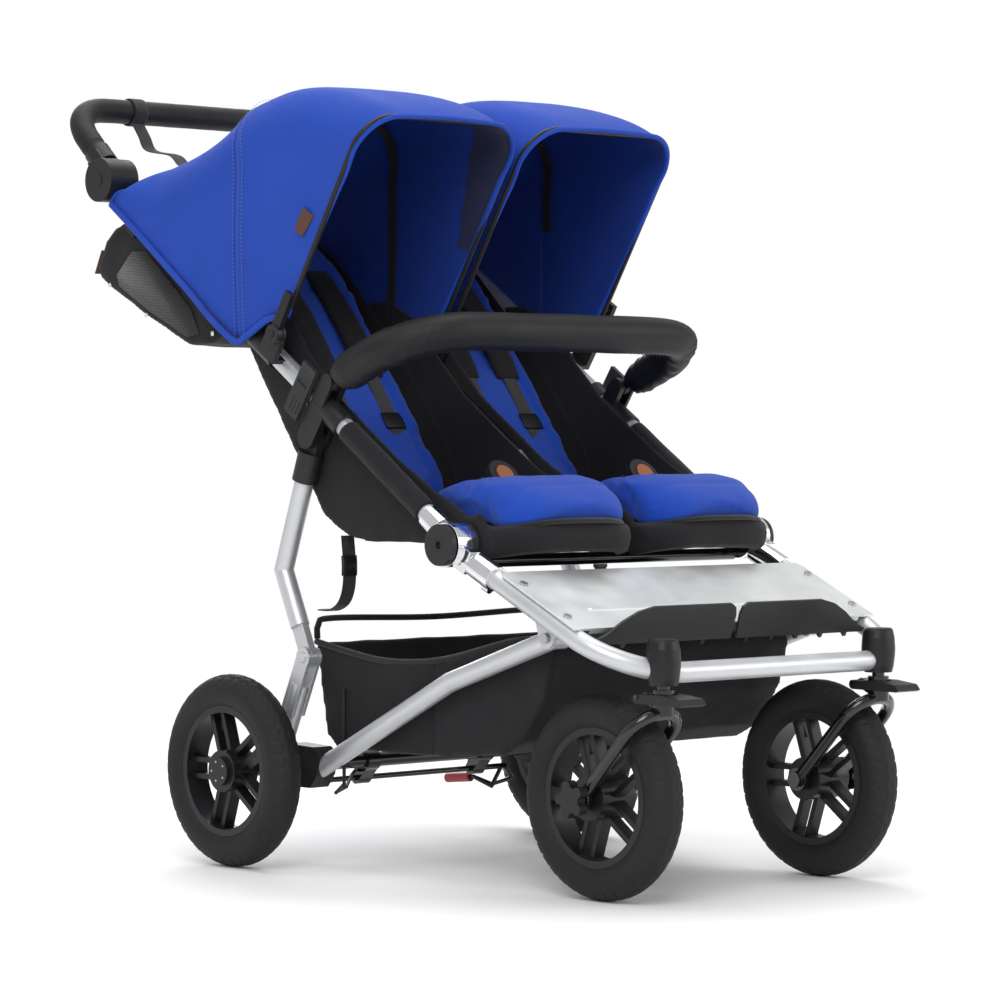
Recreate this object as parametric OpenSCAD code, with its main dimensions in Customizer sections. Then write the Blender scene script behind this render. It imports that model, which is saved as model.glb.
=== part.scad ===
/* [Overall] */
// Distance from the middle of the bounding box back to the rear axle
axle_back = 147.2; // [140:0.1:160]
// Wheel radius over the tyre
wheel_r = 127; // [100:1:155]
// Radius of the round tyre section
tyre_r = 24; // [18:0.5:30]
// Half of the rear track
rear_x = 301; // [280:0.5:320]
// Half of the front track, also the caster spacing
front_x = 193; // [180:0.5:210]
// Front axle ahead of the rear axle
front_axle = 590; // [560:1:620]
// Caster axis ahead of the rear axle
caster_ahead = 692; // [670:1:720]

/* [Frame tubes] */
// Half spacing of the side tubes
tube_x = 258; // [245:0.5:270]
// Frame tube diameter
tube_d = 25.4; // [22:0.1:30]
// Frame tube wall
tube_wall = 1.8; // [1.2:0.1:3]
// Half spacing of the lower rails
rail_x = 230; // [215:0.5:240]
// Slope of the front frame
front_tilt = 25.5; // [20:0.1:32]
// Bend radius of the front frame corners
front_bend = 100; // [80:1:130]
// Crossbar centre height
cross_z = 283; // [270:1:300]
// Slope of the seat frame
seat_tilt = 34.2; // [28:0.1:40]
// Fold hinge, ahead of the rear axle
hinge_ahead = 394; // [380:1:410]
// Fold hinge height
hinge_z = 432; // [420:1:445]

/* [Handle] */
// Slope of the handle at rest
handle_tilt = 42.7; // [30:0.1:60]
// Reach of the handle from its hubs
handle_reach = 160.6; // [140:0.1:180]
// Bend radius of the handle corners
handle_bend = 60; // [45:1:80]
// Diameter over the grip
grip_d = 34; // [28:0.5:40]

/* [Seats and shades] */
// Seat width between its side walls
seat_w = 222; // [200:1:230]
// Slope of the backrest
back_tilt = 52; // [40:0.5:65]
// Length of the backrest
back_len = 480; // [430:1:520]
// Thickness of the shade fabric
shade_t = 3; // [2:0.5:5]
// Radius of the shade roof about its centre
shade_r = 301; // [280:1:320]

/* [Belly bar] */
// Diameter over the padding
bar_d = 50; // [36:1:56]
// Reach from its sockets
bar_reach = 175; // [150:1:200]

/* [Hidden] */
$fn = 64;
tr = tube_d / 2;
h1 = [-hinge_ahead, hinge_z];
cy = -caster_ahead;
// points below are [y, z] measured from the rear axle and the ground
leg_top = [-117, 567];
leg_bend = [-53.4, 391.5];
knee = [-105, 279];
link_foot = [-42, 142];
rail_front = [-544, 321];
rail_bend = [-350, 257];
rail_end = [-84, 126];
pivot = [-75, 700];
hub = [312, 921];
crease = [-138, 458];
bar_pivot = [-158, 636];
shade_c = [-80, 729];
bow_tilt = 121.75;
bow_reach = 324.4;

// placing helpers
module placed() { translate([0, axle_back, 0]) children(); }
module pair() { children(); mirror([1, 0, 0]) children(); }
module right() { mirror([1, 0, 0]) children(); }
module on_front() { translate([0, cy, cross_z]) rotate([front_tilt, 0, 0]) children(); }
module on_seat() { translate([0, h1[0], h1[1]]) rotate([seat_tilt, 0, 0]) children(); }
module on_handle() { translate([0, hub[0], hub[1]]) rotate([handle_tilt, 0, 0]) children(); }
module on_back() { translate([0, crease[0], crease[1]]) rotate([back_tilt, 0, 0]) children(); }
module on_bar() { translate([0, bar_pivot[0], bar_pivot[1]]) rotate([158.1, 0, 0]) children(); }
// a prism across x, from an outline in y and z
module slab(x0, x1, outline) { translate([x0, 0, 0]) rotate([90, 0, 90]) linear_extrude(height = x1 - x0) polygon(outline); }
// a cylinder across x at a point in y and z
module axle(x0, x1, p, r) { translate([x0, p[0], p[1]]) rotate([0, 90, 0]) cylinder(h = x1 - x0, r = r); }
// a cylinder along y in a local frame
module along(x, y0, y1, r, z = 0) { translate([x, y0, z]) rotate([-90, 0, 0]) cylinder(h = y1 - y0, r = r); }
module rod(p, q, r) {
    v = q - p;
    l = norm(v);
    translate(p) rotate([0, acos(v[2] / l), atan2(v[1], v[0])]) cylinder(h = l, r = r);
}
module wire(pts, r, ball = 0.12) {
    // corners are rounded by balls a hair larger than the rod
    for (i = [0 : len(pts) - 2]) rod(pts[i], pts[i + 1], r);
    for (i = [1 : len(pts) - 2]) {
        v = pts[i + 1] - pts[i];
        translate(pts[i]) rotate(ball > 0.12 ? [0, acos(v[2] / norm(v)), atan2(v[1], v[0])] : [0, 0, 0]) sphere(r = r + ball);
    }
}
// a rod in a plane of constant x
module strut(x, p, q, r) { rod([x, p[0], p[1]], [x, q[0], q[1]], r); }
// a ring, or a disc when the inner radius is zero
module ring(r, ri) difference() {
    circle(r = r);
    if (ri > 0) circle(r = ri);
}
// a round U in the plane z = 0: arms along y from y0, corners of radius bend, crossbar at y1
module bow(half, y0, y1, bend, r, ri = 0) {
    s = sign(y1 - y0);
    for (m = [-1, 1]) {
        translate([m * half, s > 0 ? y0 : y1 + bend, 0]) rotate([-90, 0, 0]) linear_extrude(height = abs(y1 - y0) - bend) ring(r, ri);
        translate([m * (half - bend), y1 - s * bend, 0]) rotate([0, 0, m > 0 ? (s > 0 ? 0 : -90) : (s > 0 ? 90 : 180)]) rotate_extrude(angle = 90) translate([bend, 0]) ring(r, ri);
    }
    translate([-(half - bend), y1, 0]) rotate([0, 90, 0]) linear_extrude(height = 2 * (half - bend)) ring(r, ri);
}
// a bent tube in a plane of constant x, its bore stopping short of the bend at p[1]
module elbow(x, p, r, ri) difference() {
    union() {
        strut(x, p[0], p[1], r);
        strut(x, p[1], p[2], r);
        translate([x, p[1][0], p[1][1]]) sphere(r = r + 0.12);
    }
    strut(x, along_line(p[0], p[1], -5), along_line(p[1], p[0], 20), ri);
    strut(x, along_line(p[2], p[1], -5), along_line(p[1], p[2], 20), ri);
}

// chassis
module front_frame() placed() color("silver") {
    difference() {
        union() {
            on_front() bow(tube_x, 300, 0, front_bend, tr, tr - tube_wall);
            // lugs that carry the lower rails
            pair() {
                slab(243.2, 246.6, [[-570, 345], [-556, 318], [-532, 318], [-518, 362], [-530, 366]]);
                axle(243.2, 246.6, rail_front, 13);
            }
        }
        pair() axle(240, 252, rail_front, 4.05);
        pair() translate([front_x, cy, 240]) cylinder(h = 90, r = 9);
    }
}
module plate_outline() {
    translate([-268, 90]) square([536, 138]);
    translate([-256, 90]) square([512, 150]);
    for (x = [-256, 256]) translate([x, 228]) circle(r = 12);
}
module footplate() placed() color("gainsboro") on_front() difference() {
    union() {
        translate([0, 0, tr + 0.3]) linear_extrude(height = 2.5) plate_outline();
        // pressed rib
        translate([-200, 137, tr + 2.8]) intersection() {
            union() {
                translate([0, 0, -4]) rotate([0, 90, 0]) cylinder(h = 400, r = 6);
                translate([0, 0, -4]) sphere(r = 6);
                translate([400, 0, -4]) sphere(r = 6);
            }
            translate([-10, -10, -0.5]) cube([420, 20, 8]);
        }
        // turned-down lower edge
        translate([-240, 90, tr - 5]) cube([480, 2.5, 7]);
    }
    for (x = [-255, 255], y = [120, 206]) translate([x, y, tr - 2]) cylinder(h = 8, r = 2.1);
}
module fasteners() placed() color("lightsteelblue") {
    on_front() for (x = [-255, 255], y = [120, 206]) translate([x, y, tr + 2.85]) {
        cylinder(h = 2.6, r = 5.2);
        translate([0, 0, -2.6]) cylinder(h = 3, r = 2);
    }
    pair() {
        axle(212.6, 217, rail_front, 6.5);
        axle(216, 249, rail_front, 4);
        axle(248.3, 252, rail_front, 6.5);
    }
}
module footrest() {
    // upturned lip, with its outer end swept down
    translate([0, -624, 319]) rotate([107, 0, 0]) mirror([0, 0, 1]) linear_extrude(height = 4)
        polygon([[-240, -4], [-5, -4], [-4, 28], [-7, 37], [-15, 42], [-150, 42], [-176, 36], [-200, 24], [-222, 9], [-241, 1]]);
    slab(-240, -8, [[-621.5, 316.8], [-622, 321.2], [-588, 331], [-586, 326]]);
    // teeth under the tray
    for (i = [0 : 4]) slab(-226 + i * 46, -220 + i * 46, [[-612, 322], [-606, 309], [-592, 327]]);
}
module footrests() placed() color("dimgray") pair() footrest();
module caster_housings() placed() color("dimgray") difference() {
    pair() translate([front_x, cy, 0]) rotate_extrude() difference() {
        polygon([[0, 268], [17.5, 268], [19.5, 276], [21.2, 290], [21.5, 298], [20.6, 312], [18.6, 321], [16.5, 324], [0, 324]]);
        translate([-1, 260]) square([9, 59]);
    }
    on_front() pair() translate([tube_x - front_bend, front_bend, 0]) rotate([0, 0, -89]) rotate_extrude(angle = 88) translate([front_bend, 0]) circle(r = tr + 0.05);
}
module lower_rails() placed() color("silver") pair() difference() {
    union() {
        elbow(rail_x, [rail_front + [-4, 1.3], rail_bend, rail_end], tr, tr - tube_wall);
        axle(217.3, 242.7, rail_front, 14);
    }
    axle(210, 250, rail_front, 4.05);
}
module rear_axle() placed() color("black") difference() {
    union() {
        axle(-268, 268, [0, wheel_r], 10);
        pair() axle(267, 318, [0, wheel_r], 7.95);
        // hangers that carry the brake bar
        for (x = [-66, 143]) {
            axle(x - 11, x + 11, [0, wheel_r], 14);
            axle(x - 11, x + 11, [16, 102], 8.5);
            slab(x - 11, x + 11, [[-12, 122], [10, 98], [22, 106], [13, 131]]);
        }
    }
    axle(-300, 300, [16, 102], 4.06);
}
module axle_brackets() placed() color("black") pair() difference() {
    union() {
        slab(213, 244.5, [[-104, 124], [-110, 150], [-96, 160], [-44, 162], [-20, 158], [12, 142], [16, 120], [4, 110], [-30, 106], [-90, 106]]);
        axle(213, 244.5, [0, wheel_r], 17);
        // stub that carries the leg link
        axle(244, 246.8, link_foot, 11);
        axle(244, 273.6, link_foot, 5);
    }
    strut(rail_x, rail_end + [-95, 46.7], rail_end + [4, -2], tr + 0.05);
    axle(200, 260, [0, wheel_r], 10.05);
}
basket_side = [[-62, 296], [-128, 284], [-194, 276], [-267, 277], [-335, 286], [-440, 310], [-512, 318], [-522, 300], [-505, 240], [-464, 188], [-428, 170], [-298, 158], [-187, 158], [-104, 160], [-86, 176]];
module basket() placed() color("#1c1c20") {
    difference() {
        slab(-212, 212, basket_side);
        slab(-208, 208, [[-64, 340], [-512, 340], [-516, 302], [-500, 242], [-460.5, 192], [-427, 174], [-298, 162], [-187, 162], [-107, 164], [-90, 179]]);
    }
    // raised rear rim
    slab(-212, 212, [[-62.5, 294], [-58, 328], [-62, 328], [-66.5, 297]]);
}
module front_hinges() placed() color("gainsboro") pair() difference() {
    union() {
        on_front() along(tube_x, 250, 304, 16.5);
        // cheek that carries the hinge pin, outside the seat frame's eye
        axle(258.2, 280, h1, 28);
        on_front() translate([258.2, 290, -13]) cube([16, 26, 30]);
        axle(245, 281, h1, 6);
        on_front() along(tube_x, 254, 266, 5, -17);
    }
    on_front() along(tube_x, 240, 300.2, tr + 0.05);
}
module hinge_caps() placed() color("#202022") pair() difference() {
    axle(281.2, 289, h1, 26);
    axle(286, 292, h1, 5);
}

// seat frame
module side_tubes() placed() color("silver") on_seat() pair() difference() {
    along(tube_x, 38, 800, tr);
    along(tube_x, 30, 810, tr - tube_wall);
}
module hinge_eyes() placed() color("gainsboro") pair() difference() {
    union() {
        axle(245, 257.8, h1, 27.5);
        on_seat() translate([245, 16, -13]) cube([12.8, 24, 26]);
        on_seat() along(tube_x, 33, 62, 16);
    }
    axle(240, 262, h1, 6.06);
    on_seat() along(tube_x, 37.9, 70, tr + 0.05);
}
module tube_brackets() placed() color("#26262a") {
    pair() difference() {
        union() {
            on_seat() {
                along(tube_x, 262, 322, 16.4);
                // ears for the belly bar
                for (x = [246.5, 269.6]) translate([x, 298, 5]) cube([x < 250 ? 7.9 : 4.6, 24, 31]);
                // ears for the rear leg
                for (x = [242.6, 264]) translate([x, 289, -44]) cube([x < 250 ? 9.4 : 10, 32, 44]);
                // shade bracket
                along(tube_x, 424, 478, 16.4);
                translate([262, 402, 4]) cube([25, 34, 32]);
            }
            axle(246.5, 254.4, bar_pivot, 12);
            axle(269.6, 274.2, bar_pivot, 12);
            axle(253, 272, bar_pivot, 5);
            axle(242.6, 252, leg_top, 16);
            axle(264, 274, leg_top, 16);
            axle(250, 266, leg_top, 5);
            axle(283, 287, pivot, 14);
            axle(286, 297.4, pivot, 5);
        }
        on_seat() along(tube_x, 240, 500, tr + 0.05);
        on_seat() translate([240, 396, 10]) cube([42.9 - 4, 46, 60]);
    }
    // middle bracket for the inner ends of both shades
    difference() {
        union() {
            on_seat() along(0, 396, 440, 9.5);
            on_seat() translate([-5, 400, 0]) cube([10, 28, 44]);
            axle(-5, 5, pivot, 14);
            axle(-15, 15, pivot, 4);
        }
        on_seat() along(0, 380, 460, 7.05);
    }
}
module frame_spine() placed() color("#26262a") {
    on_seat() {
        along(0, 200, 750, 7);
        translate([0, 200, 0]) sphere(r = 7.12);
        translate([-245.1, 750, 0]) rotate([0, 90, 0]) cylinder(h = 490.2, r = 8);
    }
    rod([0, -385, 410], [0, h1[0] + 200 * cos(seat_tilt), h1[1] + 200 * sin(seat_tilt)], 7);
    axle(-244.9, 244.9, [-385, 410], 8);
}
module hub_housings() placed() color("#2c2d30") pair() difference() {
    union() {
        on_seat() along(tube_x, 772, 822, 17.5);
        on_seat() translate([243, 815, -12]) cube([16, 30, 26]);
        axle(243, 259, hub, 30);
        // hook under the housing
        on_seat() translate([250, 776, -30]) cube([14, 6, 16]);
        on_seat() translate([250, 776, -34]) cube([14, 26, 5]);
    }
    on_seat() along(tube_x, 760, 800.2, tr + 0.05);
    axle(240, 262, hub, 8.06);
}
// side view of the seat's lower shell, floor then front lip
shell_floor = [[-141, 449], [-165, 440], [-200, 435], [-313, 435], [-437, 432], [-464, 426], [-471, 454], [-476, 454], [-468, 421], [-438, 428], [-313, 431], [-200, 431], [-166, 436], [-144, 445]];
shell_wall = [[-144, 446], [-166, 436], [-200, 431], [-313, 431], [-438, 428], [-468, 421], [-475, 452], [-452, 470], [-420, 470], [-388, 452], [-340, 469], [-300, 496], [-260, 523], [-200, 560], [-150, 590], [-128, 560]];
module seat_shell() {
    slab(-240, -12, shell_floor);
    slab(-240, -237, shell_wall);
    slab(-15, -12, shell_wall);
    // fabric sleeve round the side tube
    difference() {
        on_seat() along(-tube_x, 68, 256, 15.5);
        on_seat() along(-tube_x, 60, 300, tr + 0.1);
    }
    difference() {
        on_seat() translate([-246, 72, -14]) cube([8, 178, 6]);
        on_seat() along(-tube_x, 60, 300, tr + 0.1);
    }
}
module seat_shells() placed() color("#202024") pair() seat_shell();
module seat_pad() slab(-232, -20, [[-152, 462], [-166, 443], [-200, 437], [-313, 437], [-430, 434.5], [-450, 436], [-461, 455], [-478, 458], [-483, 472], [-482, 494], [-470, 508], [-448, 512], [-424, 506], [-380, 484], [-300, 470], [-200, 466], [-168, 470]]);
module seat_pad_left() placed() color("#1f49b4") seat_pad();
module seat_pad_right() placed() color("#1f49b4") right() seat_pad();

// shades
shade_x0 = -281;
shade_x1 = -8.5;
module arch(top, inset) {
    c = 50 - inset;
    translate([0, shade_x0 + inset]) square([top - inset - c, shade_x1 - shade_x0 - 2 * inset]);
    translate([0, shade_x0 + inset + c]) square([top - inset, shade_x1 - shade_x0 - 2 * inset - 2 * c]);
    for (y = [shade_x0 + inset + c, shade_x1 - inset - c]) translate([top - inset - c, y]) circle(r = c);
}
module round_hood(inset) translate([0, shade_c[0], shade_c[1]]) rotate([0, 90, 0]) rotate_extrude() arch(shade_r, inset);
module long_hood(inset) translate([0, 24, 1011.5]) rotate([-20.9, 0, 0]) translate([0, -180, 0]) rotate([-90, 0, 0]) linear_extrude(height = 520) rotate([0, 0, -90]) translate([-360, 0]) arch(360, inset);
module hood(round) { if (round) difference() { round_hood(0); round_hood(shade_t); } else difference() { long_hood(0); long_hood(shade_t); } }
front_side = [[24, 691], [-13, 705], [-50, 720], [-82.8, 721.1], [-281.6, 1042.4], [24, 1080]];
rear_side = [[25, 690], [40, 689], [298, 887], [256, 921], [240, 1000], [200, 1080], [25, 1080]];
module canopy_front() intersection() { hood(true); slab(-290, 0, front_side); }
module canopy_rear() difference() {
    intersection() { hood(false); slab(-290, 0, rear_side); }
    // clear of the handle's hub and the cross bar
    axle(-264, -238, hub, 32);
    on_seat() along(-tube_x, 760, 830, 18.6);
    on_seat() translate([-100, 750, 0]) rotate([0, 90, 0]) cylinder(h = 200, r = 9);
}
module canopy_front_left() placed() color("#2f56b4") canopy_front();
module canopy_front_right() placed() color("#2f56b4") right() canopy_front();
module canopy_rears() placed() color("#2f56b4") pair() canopy_rear();
module canopy_bow() difference() {
    translate([0, pivot[0], pivot[1]]) rotate([bow_tilt, 0, 0]) {
        translate([-145.1, 0, 0]) bow(136.1, 40, bow_reach, 50, 3.5);
        along(-9, 8, 40, 3.5);
        translate([-14.8, 0, 0]) rotate([0, 90, 0]) cylinder(h = 8.3, r = 11);
        translate([-296.5, 0, 0]) rotate([0, 90, 0]) cylinder(h = 9.1, r = 13);
        slab(-295, -287.6, [[5, -8], [62, -7], [62, 7], [5, 8]]);
        translate([-290, 52, 0]) rotate([0, 90, 0]) cylinder(h = 8.8, r = 3.4);
    }
    axle(-300, -280, pivot, 5.06);
    axle(-20, 0, pivot, 4.06);
}
module canopy_bow_left() placed() color("#26262a") canopy_bow();
module canopy_bow_right() placed() color("#26262a") right() canopy_bow();

pod_out = [[92, 716], [112, 698], [128, 690], [174, 688], [263, 726], [380, 786], [389, 805], [368, 842], [346, 859], [312, 868]];
pod_in = [[92, 726], [116, 702], [130, 695], [173, 693], [261, 731], [376, 790], [383, 805], [364, 839], [343, 854], [308, 866], [280, 880], [92, 760]];
module pod() difference() {
    slab(-240, -14, pod_out);
    slab(-236, -18, pod_in);
}
module pod_left() placed() color("#202024") pod();
module pod_right() placed() color("#202024") right() pod();
module buckles() placed() color("#303034") pair() difference() {
    union() {
        translate([126, -330, 512]) rotate([50, 0, 0]) cylinder(h = 11, r = 23);
        slab(113, 139, [[-322, 474.6], [-319, 474.6], [-323, 512], [-328, 512]]);
    }
    translate([126, -330, 512]) rotate([50, 0, 0]) translate([0, 0, 5]) cylinder(h = 10, r = 13.3);
}
module buckle_button() translate([-126, -330, 512]) rotate([50, 0, 0]) translate([0, 0, 8.6]) cylinder(h = 4.4, r = 13);
module buckle_button_left() placed() color("#b8704e") buckle_button();
module buckle_button_right() placed() color("#b8704e") right() buckle_button();
module seat_strap() placed() color("#18181a") pair() slab(214, 236, [[-146, 440], [-149, 400], [-147, 372], [-138, 352], [-120, 342], [-98, 341], [-98, 338.5], [-121, 339], [-140, 350], [-149.6, 371], [-151.6, 400], [-149, 438]]);

// rear leg
function along_line(p, q, d) = p + (q - p) * (d / norm(q - p));
module rear_legs() placed() color("silver") pair() difference() {
    union() {
        strut(tube_x, along_line(leg_top, leg_bend, 44), leg_bend, tr);
        translate([tube_x, leg_bend[0], leg_bend[1]]) sphere(r = tr + 0.12);
        strut(tube_x, leg_bend, along_line(leg_bend, knee, 80), tr);
        // flattened end between the link's cheeks
        slab(252.9, 263.3, [[-93.4, 331.6], [-73.2, 322.6], [-95, 273.6], [-115.2, 282.6]]);
        axle(252.9, 263.3, knee, 13);
    }
    axle(250, 254, knee, 4);
}
module leg_sleeves() placed() color("#26262a") pair() difference() {
    union() {
        axle(252.3, 263.7, leg_top, 15);
        slab(252.3, 263.7, [[-131.1, 561.9], [-102.9, 572.1], [-94.8, 549.6], [-123, 539.4]]);
        strut(tube_x, along_line(leg_top, leg_bend, 22), along_line(leg_top, leg_bend, 62), 16.8);
    }
    axle(240, 280, leg_top, 5.06);
    strut(tube_x, along_line(leg_top, leg_bend, 43.9), along_line(leg_top, leg_bend, 70), tr + 0.05);
}
module leg_links() placed() color("silver") pair() difference() {
    union() {
        strut(tube_x, along_line(link_foot, knee, 12), along_line(link_foot, knee, 112), tr);
        for (x = [247, 264.2]) {
            slab(x, x + 5, [along_line(link_foot, knee, 70) + [11, 5], knee + [11, 5], knee - [11, 5], along_line(link_foot, knee, 70) - [11, 5]]);
            axle(x, x + 5, knee, 13.2);
        }
        axle(247, 270, link_foot, 14);
        axle(269, 271.4, knee, 6.5);
    }
    axle(240, 280, link_foot, 5.06);
    // slot for the leg's flattened end
    slab(252.2, 264.1, [along_line(link_foot, knee, 114) + [-30, -14], along_line(link_foot, knee, 175) + [-30, -14], along_line(link_foot, knee, 175) + [60, 27], along_line(link_foot, knee, 114) + [60, 27]]);
}

// handle
module handle_frame() placed() color("#2c2d30") difference() {
    union() {
        on_handle() bow(tube_x, 40, handle_reach, handle_bend, 9.5);
        pair() {
            axle(259.3, 290, hub, 30.5);
            axle(244, 260, hub, 8);
            on_handle() translate([259.3, 10, -14]) cube([14, 42, 28]);
            on_handle() along(tube_x, 33.5, 62, 18.5);
            axle(289.9, 291, hub, 8);
        }
    }
    on_handle() pair() translate([tube_x, 50, -30]) cylinder(h = 18, r = 8.06);
}
module handle_grip() placed() color("#141416") on_handle() bow(tube_x, 62.2, handle_reach, handle_bend, grip_d / 2, 9.55);
module handle_buttons() placed() color("#1a1a1c") on_handle() pair() translate([tube_x, 50, -22.5]) cylinder(h = 7.5, r = 8);
module wrist_straps() placed() color("#141416") pair() {
    difference() {
        on_handle() translate([128, handle_reach, 0]) rotate([0, 90, 0]) cylinder(h = 24, r = grip_d / 2 + 2.6);
        on_handle() translate([120, handle_reach, 0]) rotate([0, 90, 0]) cylinder(h = 40, r = grip_d / 2 + 0.2);
    }
    slab(130, 150, [[418.5, 1014], [416, 1017.5], [274, 942.5], [275.5, 940]]);
}

// backrest
module backrest() on_back() translate([0, 0, -5]) linear_extrude(height = 29) union() {
    translate([-232, 14]) square([212, back_len - 74]);
    translate([-172, 14]) square([92, back_len - 14]);
    for (x = [-172, -80]) translate([x, back_len - 60]) circle(r = 60);
}
module backrest_left() placed() color("#1f49b4") backrest();
module backrest_right() placed() color("#1f49b4") right() backrest();
module harness() on_back() for (x = [-164, -88]) {
    translate([x - 19, 210, 24.3]) cube([38, 190, 6]);
    translate([x - 12.5, 96, 24.3]) cube([25, 114, 2]);
    translate([x - 16, 128, 26.3]) cube([32, 24, 3]);
}
module harness_left() placed() color("#18181a") harness();
module harness_right() placed() color("#18181a") right() harness();
module belly_bar() placed() color("#1c1c20") difference() {
    on_bar() union() {
        bow(262, 26, bar_reach, 58, bar_d / 2);
        pair() {
            along(262, 8, 27, 6);
            translate([255, 0, 0]) rotate([0, 90, 0]) cylinder(h = 14, r = 11);
        }
    }
    pair() axle(240, 290, bar_pivot, 5.06);
}
module latch_levers() placed() color("#3a3b3f") on_seat() pair() difference() {
    union() {
        along(tube_x, 327, 352, 16.2);
        translate([274.7, 326, -34]) cube([6.5, 30, 74]);
        translate([266, 330, -6]) cube([10, 20, 12]);
        for (i = [0 : 2]) translate([281.1, 332 + i * 7, -28]) cube([1, 2.4, 18]);
    }
    along(tube_x, 320, 360, tr + 0.06);
    translate([279.8, 331, 12]) cube([3, 20, 5]);
}

// casters
fork_len = norm([caster_ahead - front_axle, 235 - wheel_r]);
fork_tilt = 180 - atan2(235 - wheel_r, caster_ahead - front_axle);
module fork() translate([-front_x, 0, 0]) {
    translate([0, -front_axle, wheel_r]) rotate([fork_tilt, 0, 0]) bow(38, 6, fork_len, 37, 8);
    translate([0, cy, 232]) cylinder(h = 31, r = 13.5);
    translate([0, cy, 250]) cylinder(h = 67, r = 7.95);
    for (s = [-1, 1]) translate([s * 38 - 4, -front_axle, wheel_r]) rotate([0, 90, 0]) cylinder(h = 8, r = 15);
    translate([-57.5, -front_axle, wheel_r]) rotate([0, 90, 0]) cylinder(h = 103.5, r = 6);
    // ear that carries the swivel lock
    slab(-6, 6, [[-681, 240], [-668, 246], [-660.5, 252], [-661, 257], [-667, 259.5], [-681, 256]]);
    axle(-22.6, 22.6, [-667, 254], 3);
    translate([42, -front_axle, wheel_r]) rotate([0, 90, 0]) cylinder(h = 6, r = 10);
}
// hand knob with five lobes
module wheel_knob() translate([-front_x - 60, -front_axle, wheel_r]) rotate([0, 90, 0]) difference() {
    union() {
        cylinder(h = 13.4, r = 16);
        for (i = [0 : 4]) rotate([0, 0, i * 72 + 20]) translate([17, 0, 0]) cylinder(h = 13.4, r = 7);
    }
    translate([0, 0, 2.2]) cylinder(h = 20, r = 6.06);
}
module wheel_knob_left() placed() color("#1a1a1c") wheel_knob();
module wheel_knob_right() placed() color("#1a1a1c") right() wheel_knob();
module fork_left() placed() color("#141416") fork();
module fork_right() placed() color("#141416") right() fork();
module lock_lever() translate([-front_x, 0, 0]) difference() {
    union() {
        slab(-21, 21, [[-668, 246], [-668, 258], [-705, 258], [-738, 254], [-744, 247], [-740, 245]]);
        axle(-21, 21, [-667, 252], 6);
    }
    translate([0, cy, 240]) cylinder(h = 30, r = 17.5);
    translate([-7, -682, 240]) cube([14, 30, 30]);
    axle(-30, 30, [-667, 254], 3.06);
    translate([-22, -690, 257.4]) cube([44, 40, 10]);
}
module lock_lever_left() placed() color("#2a2a2d") lock_lever();
module lock_lever_right() placed() color("#2a2a2d") right() lock_lever();

// wheels
module tyre(x, y) translate([x, y, wheel_r]) rotate([0, 90, 0]) rotate_extrude() difference() {
    translate([wheel_r - tyre_r, 0]) circle(r = tyre_r);
    translate([wheel_r - tyre_r, 0]) circle(r = tyre_r - 3.6);
    translate([60, -20]) square([26.5, 40]);
}
module rim(x, y, half_hub, bore) translate([x, y, wheel_r]) rotate([0, 90, 0]) difference() {
    union() {
        rotate_extrude() difference() {
            translate([77, -17.5]) square([9.2, 35]);
            translate([81, -12]) square([9.2, 24]);
        }
        rotate([0, 0, 7]) translate([0, 0, -half_hub]) cylinder(h = 2 * half_hub, r = 27.5);
        for (i = [0 : 4]) rotate([0, 0, i * 72 + 18]) for (s = [-1, 1]) translate([18, s * 11 - 3.5, -8.5]) cube([61, 7, 17]);
    }
    translate([0, 0, -60]) cylinder(h = 120, r = bore);
}
module front_tyre_left() placed() color("#1a1a1c") tyre(-front_x, -front_axle);
module front_tyre_right() placed() color("#1a1a1c") tyre(front_x, -front_axle);
module front_rim_left() placed() color("#26262a") rim(-front_x, -front_axle, 28, 6.06);
module front_rim_right() placed() color("#26262a") rim(front_x, -front_axle, 28, 6.06);
module rear_tyre_left() placed() color("#1a1a1c") tyre(-rear_x, 0);
module rear_tyre_right() placed() color("#1a1a1c") tyre(rear_x, 0);
module rear_rim(s) {
    rim(s * rear_x, 0, 20, 8.01);
    axle(s > 0 ? 321 : -327, s > 0 ? 327 : -321, [0, wheel_r], 19);
}
module rear_rim_left() placed() color("#26262a") rear_rim(-1);
module rear_rim_right() placed() color("#26262a") rear_rim(1);

// brake
module brake_cable() placed() color("#101012") {
    wire([[-78.9, 14, 112.6], [-122, -30, 112], [-160, -64, 100.6], [-205, -96, 98], [-214.5, -124, 112]], 2.3, 0.3);
    rod([-214.5, -124, 107], [-214.5, -124, 236], 2.36);
}
module brake_bar() placed() color("#141416") {
    axle(-150, 200, [16, 102], 4);
    wire([[198, 16, 102], [216, 18, 84], [184, 26, 76], [156, 34, 88]], 3);
    wire([[192, 16, 100], [178, 20, 74], [156, 34, 88], [156, 74, 84]], 3);
}
module brake_pedal() placed() color("#b03038") difference() {
    rod([156, 40, 87.4], [156, 88, 82.6], 7);
    rod([156, 30, 88.4], [156, 74.2, 84], 3.05);
}

front_frame();
footplate();
fasteners();
footrests();
caster_housings();
lower_rails();
rear_axle();
axle_brackets();
basket();
front_hinges();
hinge_caps();
side_tubes();
hinge_eyes();
tube_brackets();
frame_spine();
hub_housings();
seat_shells();
seat_pad_left();
seat_pad_right();
canopy_rears();
canopy_front_left();
canopy_front_right();
pod_left();
pod_right();
buckles();
seat_strap();
rear_legs();
leg_sleeves();
leg_links();
handle_frame();
handle_grip();
wrist_straps();
handle_buttons();
canopy_bow_left();
canopy_bow_right();
backrest_left();
backrest_right();
harness_left();
harness_right();
belly_bar();
latch_levers();
fork_left();
fork_right();
wheel_knob_left();
wheel_knob_right();
lock_lever_left();
lock_lever_right();
front_tyre_left();
front_tyre_right();
front_rim_left();
front_rim_right();
rear_tyre_left();
rear_tyre_right();
rear_rim_left();
rear_rim_right();
brake_bar();
brake_pedal();
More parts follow.
